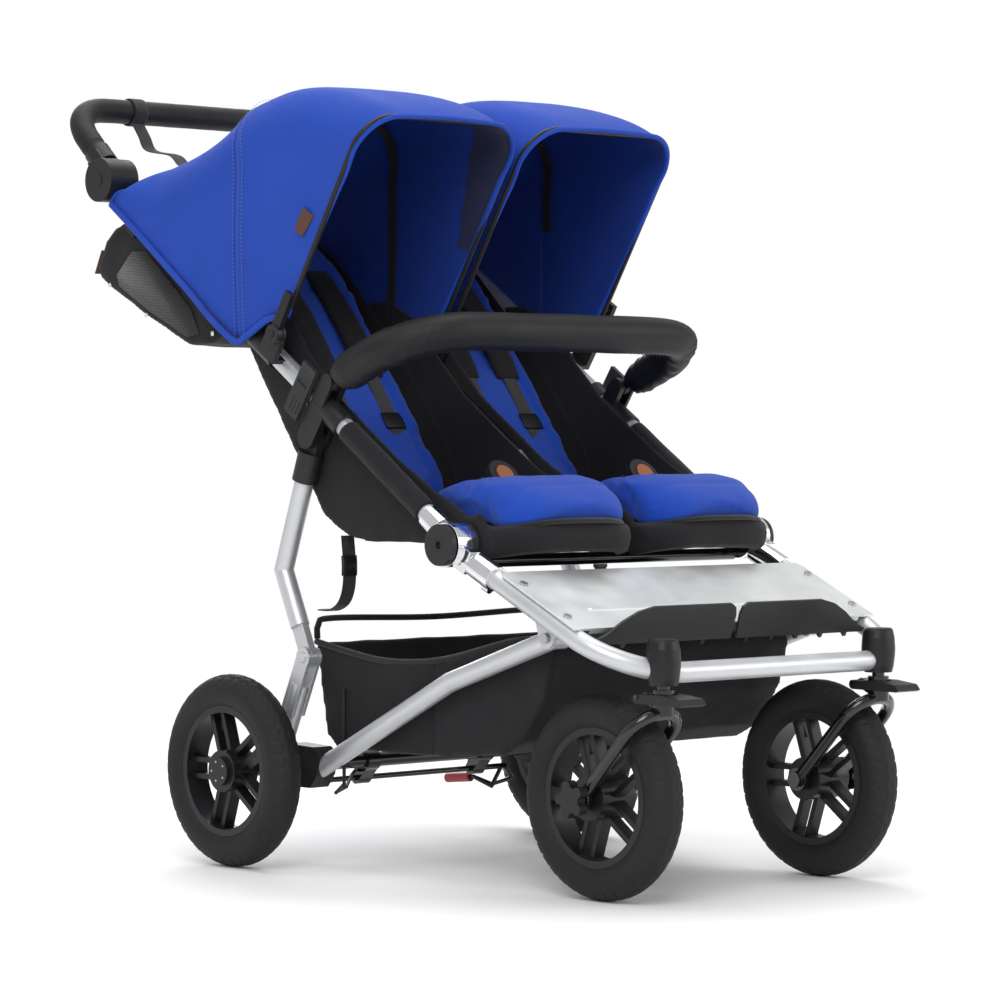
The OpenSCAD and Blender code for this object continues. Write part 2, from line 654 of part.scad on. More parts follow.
brake_cable();
buckle_button_left();
buckle_button_right();
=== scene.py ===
import math
import random

import bmesh
import bpy
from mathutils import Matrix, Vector, noise


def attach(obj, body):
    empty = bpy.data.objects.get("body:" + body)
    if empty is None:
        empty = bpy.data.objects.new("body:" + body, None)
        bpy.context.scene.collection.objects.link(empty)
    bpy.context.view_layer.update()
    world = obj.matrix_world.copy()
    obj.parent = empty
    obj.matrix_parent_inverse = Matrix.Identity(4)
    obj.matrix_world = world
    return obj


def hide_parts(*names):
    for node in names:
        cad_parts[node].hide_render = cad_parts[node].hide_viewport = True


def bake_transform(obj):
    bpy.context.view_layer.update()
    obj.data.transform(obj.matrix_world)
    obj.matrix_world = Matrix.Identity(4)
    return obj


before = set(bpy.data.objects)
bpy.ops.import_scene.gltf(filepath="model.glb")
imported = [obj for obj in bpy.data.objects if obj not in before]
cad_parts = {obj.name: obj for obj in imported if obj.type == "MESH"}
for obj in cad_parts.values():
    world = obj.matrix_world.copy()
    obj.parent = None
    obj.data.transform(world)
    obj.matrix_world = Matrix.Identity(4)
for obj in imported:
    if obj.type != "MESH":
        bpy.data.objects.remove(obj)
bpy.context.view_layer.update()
random.seed(7)

YARD = 0.1472          # the rear axle's place on the Y axis
SIDES = (("left", -1), ("right", 1))


def at(x, y, z):
    return Vector((x / 1000, y / 1000 + YARD, z / 1000))


# camera and light
camera = dict(place=at(-3299.3, -3792.1, 564.6), yaw=42.503, pitch=0.967, lens=131.86)
camData = bpy.data.cameras.new("camera")
camData.lens, camData.sensor_width = camera["lens"], 36
camData.clip_start, camData.clip_end = 0.1, 60
cam = bpy.data.objects.new("camera", camData)
bpy.context.scene.collection.objects.link(cam)
yaw, pitch = math.radians(camera["yaw"]), math.radians(camera["pitch"])
look = Vector((math.sin(yaw) * math.cos(pitch), math.cos(yaw) * math.cos(pitch), -math.sin(pitch)))
cam.location = camera["place"]
cam.rotation_mode = "QUATERNION"
cam.rotation_quaternion = look.to_track_quat("-Z", "Y")
bpy.context.scene.camera = cam


def areaLight(name, place, target, size, power, color=(1, 1, 1)):
    data = bpy.data.lights.new(name, "AREA")
    data.shape, data.size, data.size_y = "RECTANGLE", size[0], size[1]
    data.energy, data.color = power, color
    lamp = bpy.data.objects.new(name, data)
    bpy.context.scene.collection.objects.link(lamp)
    lamp.location = place
    lamp.rotation_mode = "QUATERNION"
    lamp.rotation_quaternion = (Vector(target) - Vector(place)).to_track_quat("-Z", "Y")
    return lamp


lights = dict(
    key=((-3.2, -2.6, 3.2), (0, 0, 0.5), (2.4, 2.4), 95),
    fill=((2.6, -3.4, 1.6), (0, 0, 0.5), (2.6, 2.0), 40),
    top=((0.2, 0.6, 3.6), (0, 0, 0.6), (3.0, 3.0), 70),
    rim=((1.8, 3.2, 2.2), (0, 0, 0.6), (2.0, 2.0), 60),
)
for name, (place, target, size, power) in lights.items():
    areaLight(name, place, target, size, power)
world = bpy.data.worlds.new("world")
bpy.context.scene.world = world
world.use_nodes = True
world.node_tree.nodes["Background"].inputs["Color"].default_value = (1, 1, 1, 1)
world.node_tree.nodes["Background"].inputs["Strength"].default_value = 0.6
seen = world.node_tree.nodes.new("ShaderNodeBackground")
pick = world.node_tree.nodes.new("ShaderNodeMixShader")
ray = world.node_tree.nodes.new("ShaderNodeLightPath")
world.node_tree.links.new(ray.outputs["Is Camera Ray"], pick.inputs[0])
world.node_tree.links.new(world.node_tree.nodes["Background"].outputs[0], pick.inputs[1])
world.node_tree.links.new(seen.outputs[0], pick.inputs[2])
world.node_tree.links.new(pick.outputs[0], world.node_tree.nodes["World Output"].inputs[0])
seen.inputs["Color"].default_value = (1, 1, 1, 1)
bpy.context.scene.view_settings.view_transform = "Standard"
print("camera and lights")


# materials
def newMaterial(name):
    m = bpy.data.materials.new(name)
    m.use_nodes = True
    return m, m.node_tree, m.node_tree.nodes["Principled BSDF"]


def node(tree, kind, **settings):
    n = tree.nodes.new(kind)
    for k, v in settings.items():
        if k.startswith("in_"):
            key = k[3:]
            n.inputs[int(key) if key.isdigit() else key].default_value = v
        else:
            setattr(n, k, v)
    return n


def wire(tree, a, b):
    tree.links.new(a, b)


def math2(tree, op, a, b=None, clamp=False):
    n = node(tree, "ShaderNodeMath", operation=op, use_clamp=clamp)
    for i, v in enumerate((a, b)):
        if v is None:
            continue
        if isinstance(v, (int, float)):
            n.inputs[i].default_value = v
        else:
            wire(tree, v, n.inputs[i])
    return n.outputs[0]


def mixColor(tree, factor, a, b, kind="MIX"):
    n = node(tree, "ShaderNodeMix", data_type="RGBA", blend_type=kind)
    for i, v in ((0, factor), (6, a), (7, b)):
        if isinstance(v, (int, float)):
            n.inputs[i].default_value = v
        elif isinstance(v, tuple):
            n.inputs[i].default_value = (*v, 1)
        else:
            wire(tree, v, n.inputs[i])
    return n.outputs[2]


def objectCoords(tree, scale=1.0):
    tc = node(tree, "ShaderNodeTexCoord")
    m = node(tree, "ShaderNodeMapping")
    m.inputs["Scale"].default_value = (scale,) * 3 if isinstance(scale, (int, float)) else scale
    wire(tree, tc.outputs["Object"], m.inputs["Vector"])
    return m.outputs["Vector"]


def fabric(name, color, weave=0.0011, depth=0.35, rough=0.82, sheen=0.35, twill=0.0, variation=0.16,
    ripple=0.25):
    m, t, bsdf = newMaterial(name)
    tc = node(t, "ShaderNodeTexCoord")
    sep = node(t, "ShaderNodeSeparateXYZ")
    wire(t, tc.outputs["Object"], sep.inputs[0])
    x, y, z = sep.outputs
    f = 2 * math.pi / weave
    along = math2(t, "ADD", x, math2(t, "MULTIPLY", y, 0.35))
    up = math2(t, "ADD", z, math2(t, "MULTIPLY", y, 0.9))
    a = math2(t, "SINE", math2(t, "MULTIPLY", math2(t, "ADD", along, math2(t, "MULTIPLY", up, twill)), f))
    b = math2(t, "SINE", math2(t, "MULTIPLY", up, f))
    weaveHeight = math2(t, "MULTIPLY", a, b)
    big = node(t, "ShaderNodeTexNoise", in_Scale=9.0, in_Detail=4.0, in_Roughness=0.55)
    wire(t, tc.outputs["Object"], big.inputs["Vector"])
    fine = node(t, "ShaderNodeTexNoise", in_Scale=420.0, in_Detail=2.0)
    wire(t, tc.outputs["Object"], fine.inputs["Vector"])
    dark = tuple(c * (1 - variation) for c in color)
    light = tuple(min(1, c * (1 + variation)) for c in color)
    c1 = mixColor(t, big.outputs[0], dark, light)
    c2 = mixColor(t, math2(t, "MULTIPLY", math2(t, "ADD", weaveHeight, 1.0), 0.5), c1,
        tuple(c * 0.72 for c in color))
    c3 = mixColor(t, math2(t, "MULTIPLY", fine.outputs[0], 0.5), c1, c2)
    wire(t, c3, bsdf.inputs["Base Color"])
    bsdf.inputs["Roughness"].default_value = rough
    bsdf.inputs["Sheen Weight"].default_value = sheen
    bsdf.inputs["Sheen Roughness"].default_value = 0.5
    bsdf.inputs["Specular IOR Level"].default_value = 0.3
    wrinkle = node(t, "ShaderNodeTexNoise", in_Scale=26.0, in_Detail=3.0)
    wire(t, tc.outputs["Object"], wrinkle.inputs["Vector"])
    soft = node(t, "ShaderNodeBump", in_Strength=ripple, in_Distance=0.004)
    wire(t, wrinkle.outputs[0], soft.inputs["Height"])
    bump = node(t, "ShaderNodeBump", in_Strength=depth, in_Distance=0.0004)
    wire(t, math2(t, "ADD", weaveHeight, math2(t, "MULTIPLY", fine.outputs[0], 0.8)), bump.inputs["Height"])
    wire(t, soft.outputs[0], bump.inputs["Normal"])
    wire(t, bump.outputs[0], bsdf.inputs["Normal"])
    return m


def hard(name, color, rough=0.45, metal=0.0, grain=900.0, grainDepth=0.08, wear=None, edge=0.0008,
    coat=0.0, streak=False):
    m, t, bsdf = newMaterial(name)
    vec = objectCoords(t)
    g = node(t, "ShaderNodeTexNoise", in_Scale=grain, in_Detail=2.0)
    wire(t, objectCoords(t, (1, 0.04, 1)) if streak else vec, g.inputs["Vector"])
    drift = node(t, "ShaderNodeTexNoise", in_Scale=14.0, in_Detail=5.0, in_Roughness=0.6)
    wire(t, vec, drift.inputs["Vector"])
    base = mixColor(t, drift.outputs[0], tuple(c * 0.86 for c in color),
        tuple(min(1, c * 1.12) for c in color))
    if wear:
        geo = node(t, "ShaderNodeNewGeometry")
        ramp = node(t, "ShaderNodeMapRange", in_1=0.52, in_2=0.62)
        wire(t, geo.outputs["Pointiness"], ramp.inputs[0])
        base = mixColor(t, math2(t, "MULTIPLY", ramp.outputs[0],
            math2(t, "MULTIPLY", drift.outputs[0], 0.7)), base, wear)
    wire(t, base, bsdf.inputs["Base Color"])
    bsdf.inputs["Metallic"].default_value = metal
    r = node(t, "ShaderNodeMapRange", in_1=0.3, in_2=0.7, in_3=max(0.02, rough - 0.07),
        in_4=min(1, rough + 0.08))
    wire(t, drift.outputs[0], r.inputs[0])
    wire(t, r.outputs[0], bsdf.inputs["Roughness"])
    bsdf.inputs["Coat Weight"].default_value = coat
    bsdf.inputs["Specular IOR Level"].default_value = 0.36
    bev = node(t, "ShaderNodeBevel", samples=4)
    bev.inputs["Radius"].default_value = edge
    bump = node(t, "ShaderNodeBump", in_Strength=grainDepth, in_Distance=0.0003)
    wire(t, g.outputs[0], bump.inputs["Height"])
    wire(t, bev.outputs[0], bump.inputs["Normal"])
    wire(t, bump.outputs[0], bsdf.inputs["Normal"])
    return m


mats = dict(
    silver=hard("satin_silver", (0.62, 0.63, 0.65), rough=0.42, metal=0.7, grain=1400, grainDepth=0.05),
    plate=hard("anodised_plate", (0.80, 0.82, 0.82), rough=0.42, metal=0.75, grain=1600,
        grainDepth=0.07, streak=True),
    chrome=hard("polished_chrome", (0.82, 0.82, 0.84), rough=0.1, metal=1.0, grain=300, grainDepth=0.01),
    screw=hard("steel_screw", (0.5, 0.5, 0.52), rough=0.3, metal=1.0, grain=700, grainDepth=0.05),
    nylon=hard("black_nylon", (0.008, 0.008, 0.009), rough=0.42, grain=1500, grainDepth=0.22,
        wear=(0.025, 0.025, 0.027)),
    nylonGrey=hard("grey_nylon", (0.018, 0.019, 0.021), rough=0.45, grain=1500, grainDepth=0.22,
        wear=(0.05, 0.05, 0.05)),
    wheelNylon=hard("wheel_nylon", (0.006, 0.006, 0.007), rough=0.38, grain=1200, grainDepth=0.15,
        wear=(0.022, 0.022, 0.024)),
    blackSteel=hard("black_enamel", (0.006, 0.006, 0.007), rough=0.16, grain=260, grainDepth=0.02,
        coat=0.6),
    sheath=hard("cable_sheath", (0.01, 0.01, 0.01), rough=0.5, grain=900),
    red=hard("red_plastic", (0.33, 0.012, 0.02), rough=0.38, grain=900, grainDepth=0.1,
        wear=(0.5, 0.1, 0.1)),
    copper=hard("copper_plastic", (0.42, 0.16, 0.07), rough=0.3, metal=0.6, grain=900),
    brass=hard("brass", (0.6, 0.42, 0.16), rough=0.28, metal=1.0, grain=600),
    tag=hard("brown_tag", (0.09, 0.035, 0.02), rough=0.5, grain=600, grainDepth=0.2),
    tyre=hard("tyre_rubber", (0.010, 0.010, 0.011), rough=0.66, grain=700, grainDepth=0.3,
        wear=(0.022, 0.022, 0.022), edge=0.0002),
    foam=hard("grip_foam", (0.007, 0.007, 0.008), rough=0.6, grain=1100, grainDepth=0.5),
    leather=hard("bar_cover", (0.006, 0.006, 0.007), rough=0.55, grain=650, grainDepth=0.45),
    blue=fabric("blue_shade", (0.005, 0.052, 0.40), weave=0.0010, ripple=0.3, sheen=0.06),
    # inside of the hoods: the shade's own blue fabric made darker, painted shade on the hood's inner faces
    paintedShadeBlue=fabric("hood_inside_painted_shade", (0.004, 0.034, 0.26), weave=0.0010, ripple=0.3, sheen=0.05),
    padBlue=fabric("pad_blue", (0.005, 0.056, 0.43), weave=0.0016, depth=0.5, sheen=0.12, ripple=0.35),
    black=fabric("black_canvas", (0.008, 0.008, 0.010), weave=0.0012, sheen=0.08, ripple=0.35),
    piping=fabric("black_piping", (0.008, 0.008, 0.009), weave=0.0010, sheen=0.2, ripple=0.1),
    webbing=fabric("webbing", (0.010, 0.010, 0.011), weave=0.0020, depth=0.8, twill=0.6, sheen=0.2,
        ripple=0.0),
    thread=fabric("thread", (0.16, 0.19, 0.27), weave=0.0006, ripple=0.0),
)


def meshMaterial(name, color, pitch=0.0042):
    m, t, bsdf = newMaterial(name)
    tc = node(t, "ShaderNodeTexCoord")
    sep = node(t, "ShaderNodeSeparateXYZ")
    wire(t, tc.outputs["Object"], sep.inputs[0])
    u = math2(t, "ADD", sep.outputs[1], math2(t, "MULTIPLY", sep.outputs[0], 0.6))
    v = math2(t, "ADD", sep.outputs[2], math2(t, "MULTIPLY", sep.outputs[0], 0.3))
    f = 2 * math.pi / pitch
    h = math2(t, "MULTIPLY", math2(t, "SINE", math2(t, "MULTIPLY", u, f)),
        math2(t, "SINE", math2(t, "MULTIPLY", v, f)))
    holes = math2(t, "GREATER_THAN", math2(t, "ABSOLUTE", h), 0.42)
    bsdf.inputs["Base Color"].default_value = (*color, 1)
    bsdf.inputs["Roughness"].default_value = 0.75
    bsdf.inputs["Sheen Weight"].default_value = 0.3
    wire(t, math2(t, "SUBTRACT", 1.0, math2(t, "MULTIPLY", holes, 0.8)), bsdf.inputs["Alpha"])
    return m


mats["mesh"] = meshMaterial("black_mesh", (0.012, 0.012, 0.014))


def paint(obj, material):
    obj.data.materials.clear()
    obj.data.materials.append(material)


cadPaint = dict(
    silver="front_frame lower_rails side_tubes rear_legs leg_links",
    plate="footplate",
    chrome="front_hinges hinge_eyes",
    screw="fasteners",
    nylon="footrests caster_housings axle_brackets hinge_caps tube_brackets hub_housings leg_sleeves "
          "handle_frame handle_buttons wheel_knob_left wheel_knob_right buckles canopy_bow_left "
          "canopy_bow_right lock_lever_left lock_lever_right",
    nylonGrey="latch_levers",
    wheelNylon="front_rim_left front_rim_right rear_rim_left rear_rim_right",
    blackSteel="rear_axle frame_spine fork_left fork_right brake_bar",
    sheath="brake_cable",
    red="brake_pedal",
    copper="buckle_button_left buckle_button_right",
    tyre="front_tyre_left front_tyre_right rear_tyre_left rear_tyre_right",
    foam="handle_grip",
    leather="belly_bar",
    black="basket seat_shells pod_left pod_right",
    webbing="seat_strap harness_left harness_right wrist_straps",
    padBlue="seat_pad_left seat_pad_right backrest_left backrest_right",
    blue="canopy_rears canopy_front_left canopy_front_right",
)
for key, names in cadPaint.items():
    for n in names.split():
        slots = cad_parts[n].material_slots
        if not slots:
            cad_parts[n].data.materials.append(mats[key])
        for s in slots:
            s.material = mats[key]
print("materials")

# floor
floorMesh = bpy.data.meshes.new("floor")
floorMesh.from_pydata([(-30, -30, 0), (30, -30, 0), (30, 30, 0), (-30, 30, 0)], [], [(0, 1, 2, 3)])
floor = bpy.data.objects.new("floor", floorMesh)
bpy.context.scene.collection.objects.link(floor)
floorMat, t, bsdf = newMaterial("floor")
bsdf.inputs["Base Color"].default_value = (0.93, 0.93, 0.93, 1)
bsdf.inputs["Roughness"].default_value = 0.75
away = node(t, "ShaderNodeVectorMath", operation="LENGTH")
wire(t, objectCoords(t), away.inputs[0])
fade = node(t, "ShaderNodeMapRange", in_1=0.9, in_2=2.2)
wire(t, away.outputs["Value"], fade.inputs[0])
grain = node(t, "ShaderNodeTexNoise", in_Scale=40.0)
wire(t, objectCoords(t), grain.inputs["Vector"])
wire(t, mixColor(t, math2(t, "MULTIPLY", grain.outputs[0], 0.3), (0.95, 0.95, 0.95),
    (0.91, 0.91, 0.91)), bsdf.inputs["Base Color"])
glow, blendIn = node(t, "ShaderNodeEmission"), node(t, "ShaderNodeMixShader")
wire(t, fade.outputs[0], blendIn.inputs[0])
wire(t, bsdf.outputs[0], blendIn.inputs[1])
wire(t, glow.outputs[0], blendIn.inputs[2])
wire(t, blendIn.outputs[0], t.nodes["Material Output"].inputs[0])
paint(floor, floorMat)

# mesh tools
def makeObject(name, verts, faces, material, smooth=True):
    mesh = bpy.data.meshes.new(name)
    mesh.from_pydata([tuple(v) for v in verts], [], faces)
    mesh.validate()
    obj = bpy.data.objects.new(name, mesh)
    bpy.context.scene.collection.objects.link(obj)
    for m in material if isinstance(material, (list, tuple)) else [material]:
        mesh.materials.append(m)
    if smooth:
        mesh.polygons.foreach_set("use_smooth", [True] * len(mesh.polygons))
    return obj


def outward(obj):
    bm = bmesh.new()
    bm.from_mesh(obj.data)
    bmesh.ops.recalc_face_normals(bm, faces=bm.faces)
    bm.to_mesh(obj.data)
    bm.free()


def flatten(obj):
    dg = bpy.context.evaluated_depsgraph_get()
    dg.update()
    mesh = bpy.data.meshes.new_from_object(obj.evaluated_get(dg), preserve_all_data_layers=True,
        depsgraph=dg)
    obj.modifiers.clear()
    obj.data = mesh
    return obj


def gridFaces(rows, cols, closedCols=False):
    faces = []
    for i in range(rows - 1):
        for j in range(cols if closedCols else cols - 1):
            k = (j + 1) % cols
            faces.append((i * cols + j, i * cols + k, (i + 1) * cols + k, (i + 1) * cols + j))
    return faces


def smoothPath(points, count):
    p = [Vector(q) for q in points]
    p = [p[0] * 2 - p[1]] + p + [p[-1] * 2 - p[-2]]
    dense = []
    for i in range(1, len(p) - 2):
        for k in range(12):
            t = k / 12
            dense.append(0.5 * ((2 * p[i]) + (p[i + 1] - p[i - 1]) * t
                                + (2 * p[i - 1] - 5 * p[i] + 4 * p[i + 1] - p[i + 2]) * t * t
                                + (3 * p[i] - p[i - 1] - 3 * p[i + 1] + p[i + 2]) * t ** 3))
    dense.append(p[-2])
    length = [0]
    for a, b in zip(dense, dense[1:]):
        length.append(length[-1] + (b - a).length)
    out, j = [], 0
    for i in range(count):
        want = length[-1] * i / (count - 1)
        while j < len(length) - 2 and length[j + 1] < want:
            j += 1
        span = max(length[j + 1] - length[j], 1e-9)
        out.append(dense[j].lerp(dense[j + 1], (want - length[j]) / span))
    return out


def sweep(name, points, section, material, across=None, closedEnds=True):
    verts, n, m = [], len(points), 0
    side = None
    for i, p in enumerate(points):
        d = (points[min(i + 1, n - 1)] - points[max(i - 1, 0)]).normalized()
        if across is not None:
            a = Vector(across)
            a = (a - d * a.dot(d)).normalized()
        else:
            if side is None:
                side = d.orthogonal().normalized()
            side = (side - d * side.dot(d)).normalized()
            a = side
        u = d.cross(a)
        s = section(i / (n - 1)) if callable(section) else section
        m = len(s)
        verts += [p + a * x + u * y for x, y in s]
    faces = gridFaces(n, m, True)
    if closedEnds:
        faces.append(tuple(range(m - 1, -1, -1)))
        faces.append(tuple((n - 1) * m + j for j in range(m)))
    obj = makeObject(name, verts, faces, material)
    outward(obj)
    return obj


def roundSection(r, n=14):
    return [(r * math.cos(2 * math.pi * k / n), r * math.sin(2 * math.pi * k / n)) for k in range(n)]


def padSection(w, t, n=28, power=0.5):
    out = []
    for k in range(n):
        c, s = math.cos(2 * math.pi * k / n), math.sin(2 * math.pi * k / n)
        out.append((w / 2 * math.copysign(abs(c) ** power, c), t / 2 * math.copysign(abs(s) ** 0.9, s)))
    return out


def tube(name, points, r, material, n=12):
    return sweep(name, points, roundSection(r, n), material)


def strap(name, points, w, t, material, across=(1, 0, 0)):
    return sweep(name, points, padSection(w, t, 16, 0.25), material, across)


def slabs(name, pieces, material):
    verts, faces = [], []
    for x0, x1, outline in pieces:
        k, n = len(verts), len(outline)
        verts += [at(x0, y, z) for y, z in outline] + [at(x1, y, z) for y, z in outline]
        faces.append(tuple(range(k, k + n)))
        faces.append(tuple(range(k + 2 * n - 1, k + n - 1, -1)))
        for i in range(n):
            j = (i + 1) % n
            faces.append((k + i, k + n + i, k + n + j, k + j))
    obj = makeObject(name, verts, faces, material)
    bm = bmesh.new()
    bm.from_mesh(obj.data)
    bmesh.ops.triangulate(bm, faces=bm.faces)
    bmesh.ops.recalc_face_normals(bm, faces=bm.faces)
    bm.to_mesh(obj.data)
    bm.free()
    return obj


def remesh(obj, voxel, smooth=6):
    mod = obj.modifiers.new("remesh", "REMESH")
    mod.mode, mod.voxel_size, mod.use_smooth_shade = "VOXEL", voxel, True
    if smooth:
        s = obj.modifiers.new("smooth", "SMOOTH")
        s.factor, s.iterations = 0.5, smooth
    return flatten(obj)


def puff(obj, pressure=4.0, cap=0.009, stiff=12, pinned=None):
    rest = [v.co.copy() for v in obj.data.vertices]
    cloth = obj.modifiers.new("cloth", "CLOTH")
    st = cloth.settings
    st.quality, st.mass = 4, 0.3
    st.tension_stiffness = st.compression_stiffness = stiff
    st.shear_stiffness, st.bending_stiffness = 5, 0.6
    st.use_pressure, st.uniform_pressure_force = True, pressure
    st.effector_weights.gravity = 0
    cloth.collision_settings.use_collision = False
    if pinned:
        group = obj.vertex_groups.new(name="pin")
        group.add([v.index for v in obj.data.vertices if pinned(v.co)], 1.0, "REPLACE")
        st.vertex_group_mass = "pin"
    cloth.point_cache.frame_start, cloth.point_cache.frame_end = 1, 20
    for f in range(1, 21):
        bpy.context.scene.frame_set(f)
    flatten(obj)
    for v, r in zip(obj.data.vertices, rest):
        d = v.co - r
        if d.length > cap:
            v.co = r + d * (cap / d.length)
    bpy.context.scene.frame_set(1)
    return obj


def push(obj, field):
    obj.data.update()
    normals = [v.normal.copy() for v in obj.data.vertices]
    for v, n in zip(obj.data.vertices, normals):
        v.co += n * field(v.co, n)
    obj.data.update()
    return obj


def subdivide(obj, levels=1):
    s = obj.modifiers.new("subdiv", "SUBSURF")
    s.levels = s.render_levels = levels
    return flatten(obj)


def solid(obj, thickness, offset=-1, inner=0):
    s = obj.modifiers.new("solid", "SOLIDIFY")
    s.thickness, s.offset, s.material_offset, s.use_even_offset = thickness, offset, inner, False
    return flatten(obj)


def wobble(co, scale, seed=0.0):
    return noise.noise(co * scale + Vector((seed, seed * 1.7, -seed)))


def groove(distance, width, depth):
    return -depth * math.exp(-(distance / width) ** 2)


def stitches(name, paths, material, body, spacing=0.0052, length=0.0034, radius=0.00048):
    verts, edges = [], []
    for path in paths:
        k = len(verts)
        verts += path
        edges += [(k + i, k + i + 1) for i in range(len(path) - 1)]
    mesh = bpy.data.meshes.new(name)
    mesh.from_pydata([tuple(v) for v in verts], edges, [])
    obj = bpy.data.objects.new(name, mesh)
    bpy.context.scene.collection.objects.link(obj)
    mod = obj.modifiers.new("stitches", "NODES")
    mod.node_group = stitchGroup
    for item in stitchGroup.interface.items_tree:
        if item.in_out == "INPUT" and item.name in ("Spacing", "Length", "Radius", "Thread"):
            mod[item.identifier] = {"Spacing": spacing, "Length": length, "Radius": radius,
                "Thread": material}[item.name]
    flatten(obj)
    if not obj.data.materials:
        obj.data.materials.append(material)
    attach(obj, body)
    return obj


def makeStitchGroup():
    g = bpy.data.node_groups.new("stitch_line", "GeometryNodeTree")
    g.interface.new_socket("Geometry", in_out="INPUT", socket_type="NodeSocketGeometry")
    for label in ("Spacing", "Length", "Radius"):
        g.interface.new_socket(label, in_out="INPUT", socket_type="NodeSocketFloat")
    g.interface.new_socket("Thread", in_out="INPUT", socket_type="NodeSocketMaterial")
    g.interface.new_socket("Geometry", in_out="OUTPUT", socket_type="NodeSocketGeometry")
    n = g.nodes.new
    start, end = n("NodeGroupInput"), n("NodeGroupOutput")
    curve, resample = n("GeometryNodeMeshToCurve"), n("GeometryNodeResampleCurve")
    resample.mode = "LENGTH"
    ball = n("GeometryNodeMeshIcoSphere")
    ball.inputs["Subdivisions"].default_value = 1
    ball.inputs["Radius"].default_value = 1.0
    tangent, align = n("GeometryNodeInputTangent"), n("FunctionNodeAlignEulerToVector")
    align.axis = "Z"
    size, place = n("ShaderNodeCombineXYZ"), n("GeometryNodeInstanceOnPoints")
    half = n("ShaderNodeMath")
    half.operation = "MULTIPLY"
    half.inputs[1].default_value = 0.5
    real, setMat = n("GeometryNodeRealizeInstances"), n("GeometryNodeSetMaterial")
    link = g.links.new
    link(start.outputs["Geometry"], curve.inputs["Mesh"])
    link(curve.outputs["Curve"], resample.inputs["Curve"])
    link(start.outputs["Spacing"], resample.inputs["Length"])
    link(resample.outputs["Curve"], place.inputs["Points"])
    link(ball.outputs["Mesh"], place.inputs["Instance"])
    link(tangent.outputs[0], align.inputs["Vector"])
    link(align.outputs[0], place.inputs["Rotation"])
    link(start.outputs["Radius"], size.inputs[0])
    link(start.outputs["Radius"], size.inputs[1])
    link(start.outputs["Length"], half.inputs[0])
    link(half.outputs[0], size.inputs[2])
    link(size.outputs[0], place.inputs["Scale"])
    link(place.outputs["Instances"], real.inputs[0])
    link(real.outputs[0], setMat.inputs["Geometry"])
    link(start.outputs["Thread"], setMat.inputs["Material"])
    link(setMat.outputs[0], end.inputs[0])
    return g


stitchGroup = makeStitchGroup()


def finishPiece(obj, body, slotName, *replaced):
    if replaced:
        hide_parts(*replaced)
    if isinstance(body, str):
        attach(obj, body)
    else:
        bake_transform(obj)
    return obj


# shades
shade = dict(
    outer=-280, inner=-9.5, corner=58, cloth=0.0022,
    frontFoot=[(-83, 722), (-66, 722), (-45, 719), (-20, 707), (0, 698), (20, 692)],
    frontTop=[(-251, 976), (-222, 993), (-172, 1010), (-110, 1023), (-50, 1024), (20, 1009)],
    rearFoot=[(20, 692), (70, 722), (118, 760), (166, 795), (214, 830), (256, 860), (296, 888)],
    rearTop=[(20, 1009), (60, 985), (104, 964), (150, 949), (196, 938), (248, 925), (282, 905)],
)


def hoodSection(foot, top, side, steps=(9, 7, 12), lift=0.0):
    foot, top = Vector(foot), Vector(top)
    h = (top - foot).length
    up = (top - foot) / h
    c = min(shade["corner"], h * 0.55)
    x0, x1 = shade["outer"] + lift, shade["inner"] - lift
    bulge = min(7.0, h * 0.03)
    pts = []
    for k in range(steps[0]):
        s = k / steps[0]
        pts.append((x0 + bulge * (1 - math.sin(math.pi * s)) * 0.5, (h - c) * s))
    for k in range(steps[1]):
        a = math.pi - math.pi / 2 * k / steps[1]
        pts.append((x0 + c + c * math.cos(a), h - c + c * math.sin(a)))
    for k in range(steps[2] + 1):
        s = k / steps[2]
        pts.append((x0 + c + (x1 - x0 - 2 * c) * s, h + 2.5 * math.sin(math.pi * s)))
    for k in range(1, steps[1] + 1):
        a = math.pi / 2 - math.pi / 2 * k / steps[1]
        pts.append((x1 - c + c * math.cos(a), h - c + c * math.sin(a)))
    for k in range(1, steps[0] + 1):
        s = 1 - k / steps[0]
        pts.append((x1 - bulge * (1 - math.sin(math.pi * s)) * 0.5, (h - c) * s))
    return [at(-side * x, *(foot + up * (hh - lift))) for x, hh in pts]


def hoodRows(feet, tops, side, rows, lift=0.0):
    f = smoothPath([(0, *p) for p in feet], rows)
    t = smoothPath([(0, *p) for p in tops], rows)
    return [hoodSection((a.y, a.z), (b.y, b.z), side, lift=lift) for a, b in zip(f, t)]


def makeHood(name, feet, tops, side, rows, blackUnder=False):
    sections = hoodRows(feet, tops, side, rows)
    cols = len(sections[0])
    verts = [v for s in sections for v in s]
    obj = makeObject(name, verts, gridFaces(rows, cols), [mats["blue"], mats["paintedShadeBlue"], mats["mesh"]])
    bm = bmesh.new()
    bm.from_mesh(obj.data)
    centre = sum(verts, Vector()) / len(verts)
    f = max(bm.faces, key=lambda q: q.calc_center_median().z)
    if f.normal.z < 0:
        bmesh.ops.reverse_faces(bm, faces=bm.faces)
    bm.to_mesh(obj.data)
    bm.free()
    push(obj, lambda co, n: 0.0016 * wobble(co, 9, side * 3.1) + 0.0008 * wobble(co, 24, 5 + side))
    subdivide(obj, 1)
    # material offset 1 puts the darker blue, painted shade, on the hood's inner faces
    solid(obj, shade["cloth"], -1, 1)
    if blackUnder:
        for p in obj.data.polygons:
            c = p.center
            if p.material_index == 1 and blackUnder(c):
                p.material_index = 2
    return obj, sections


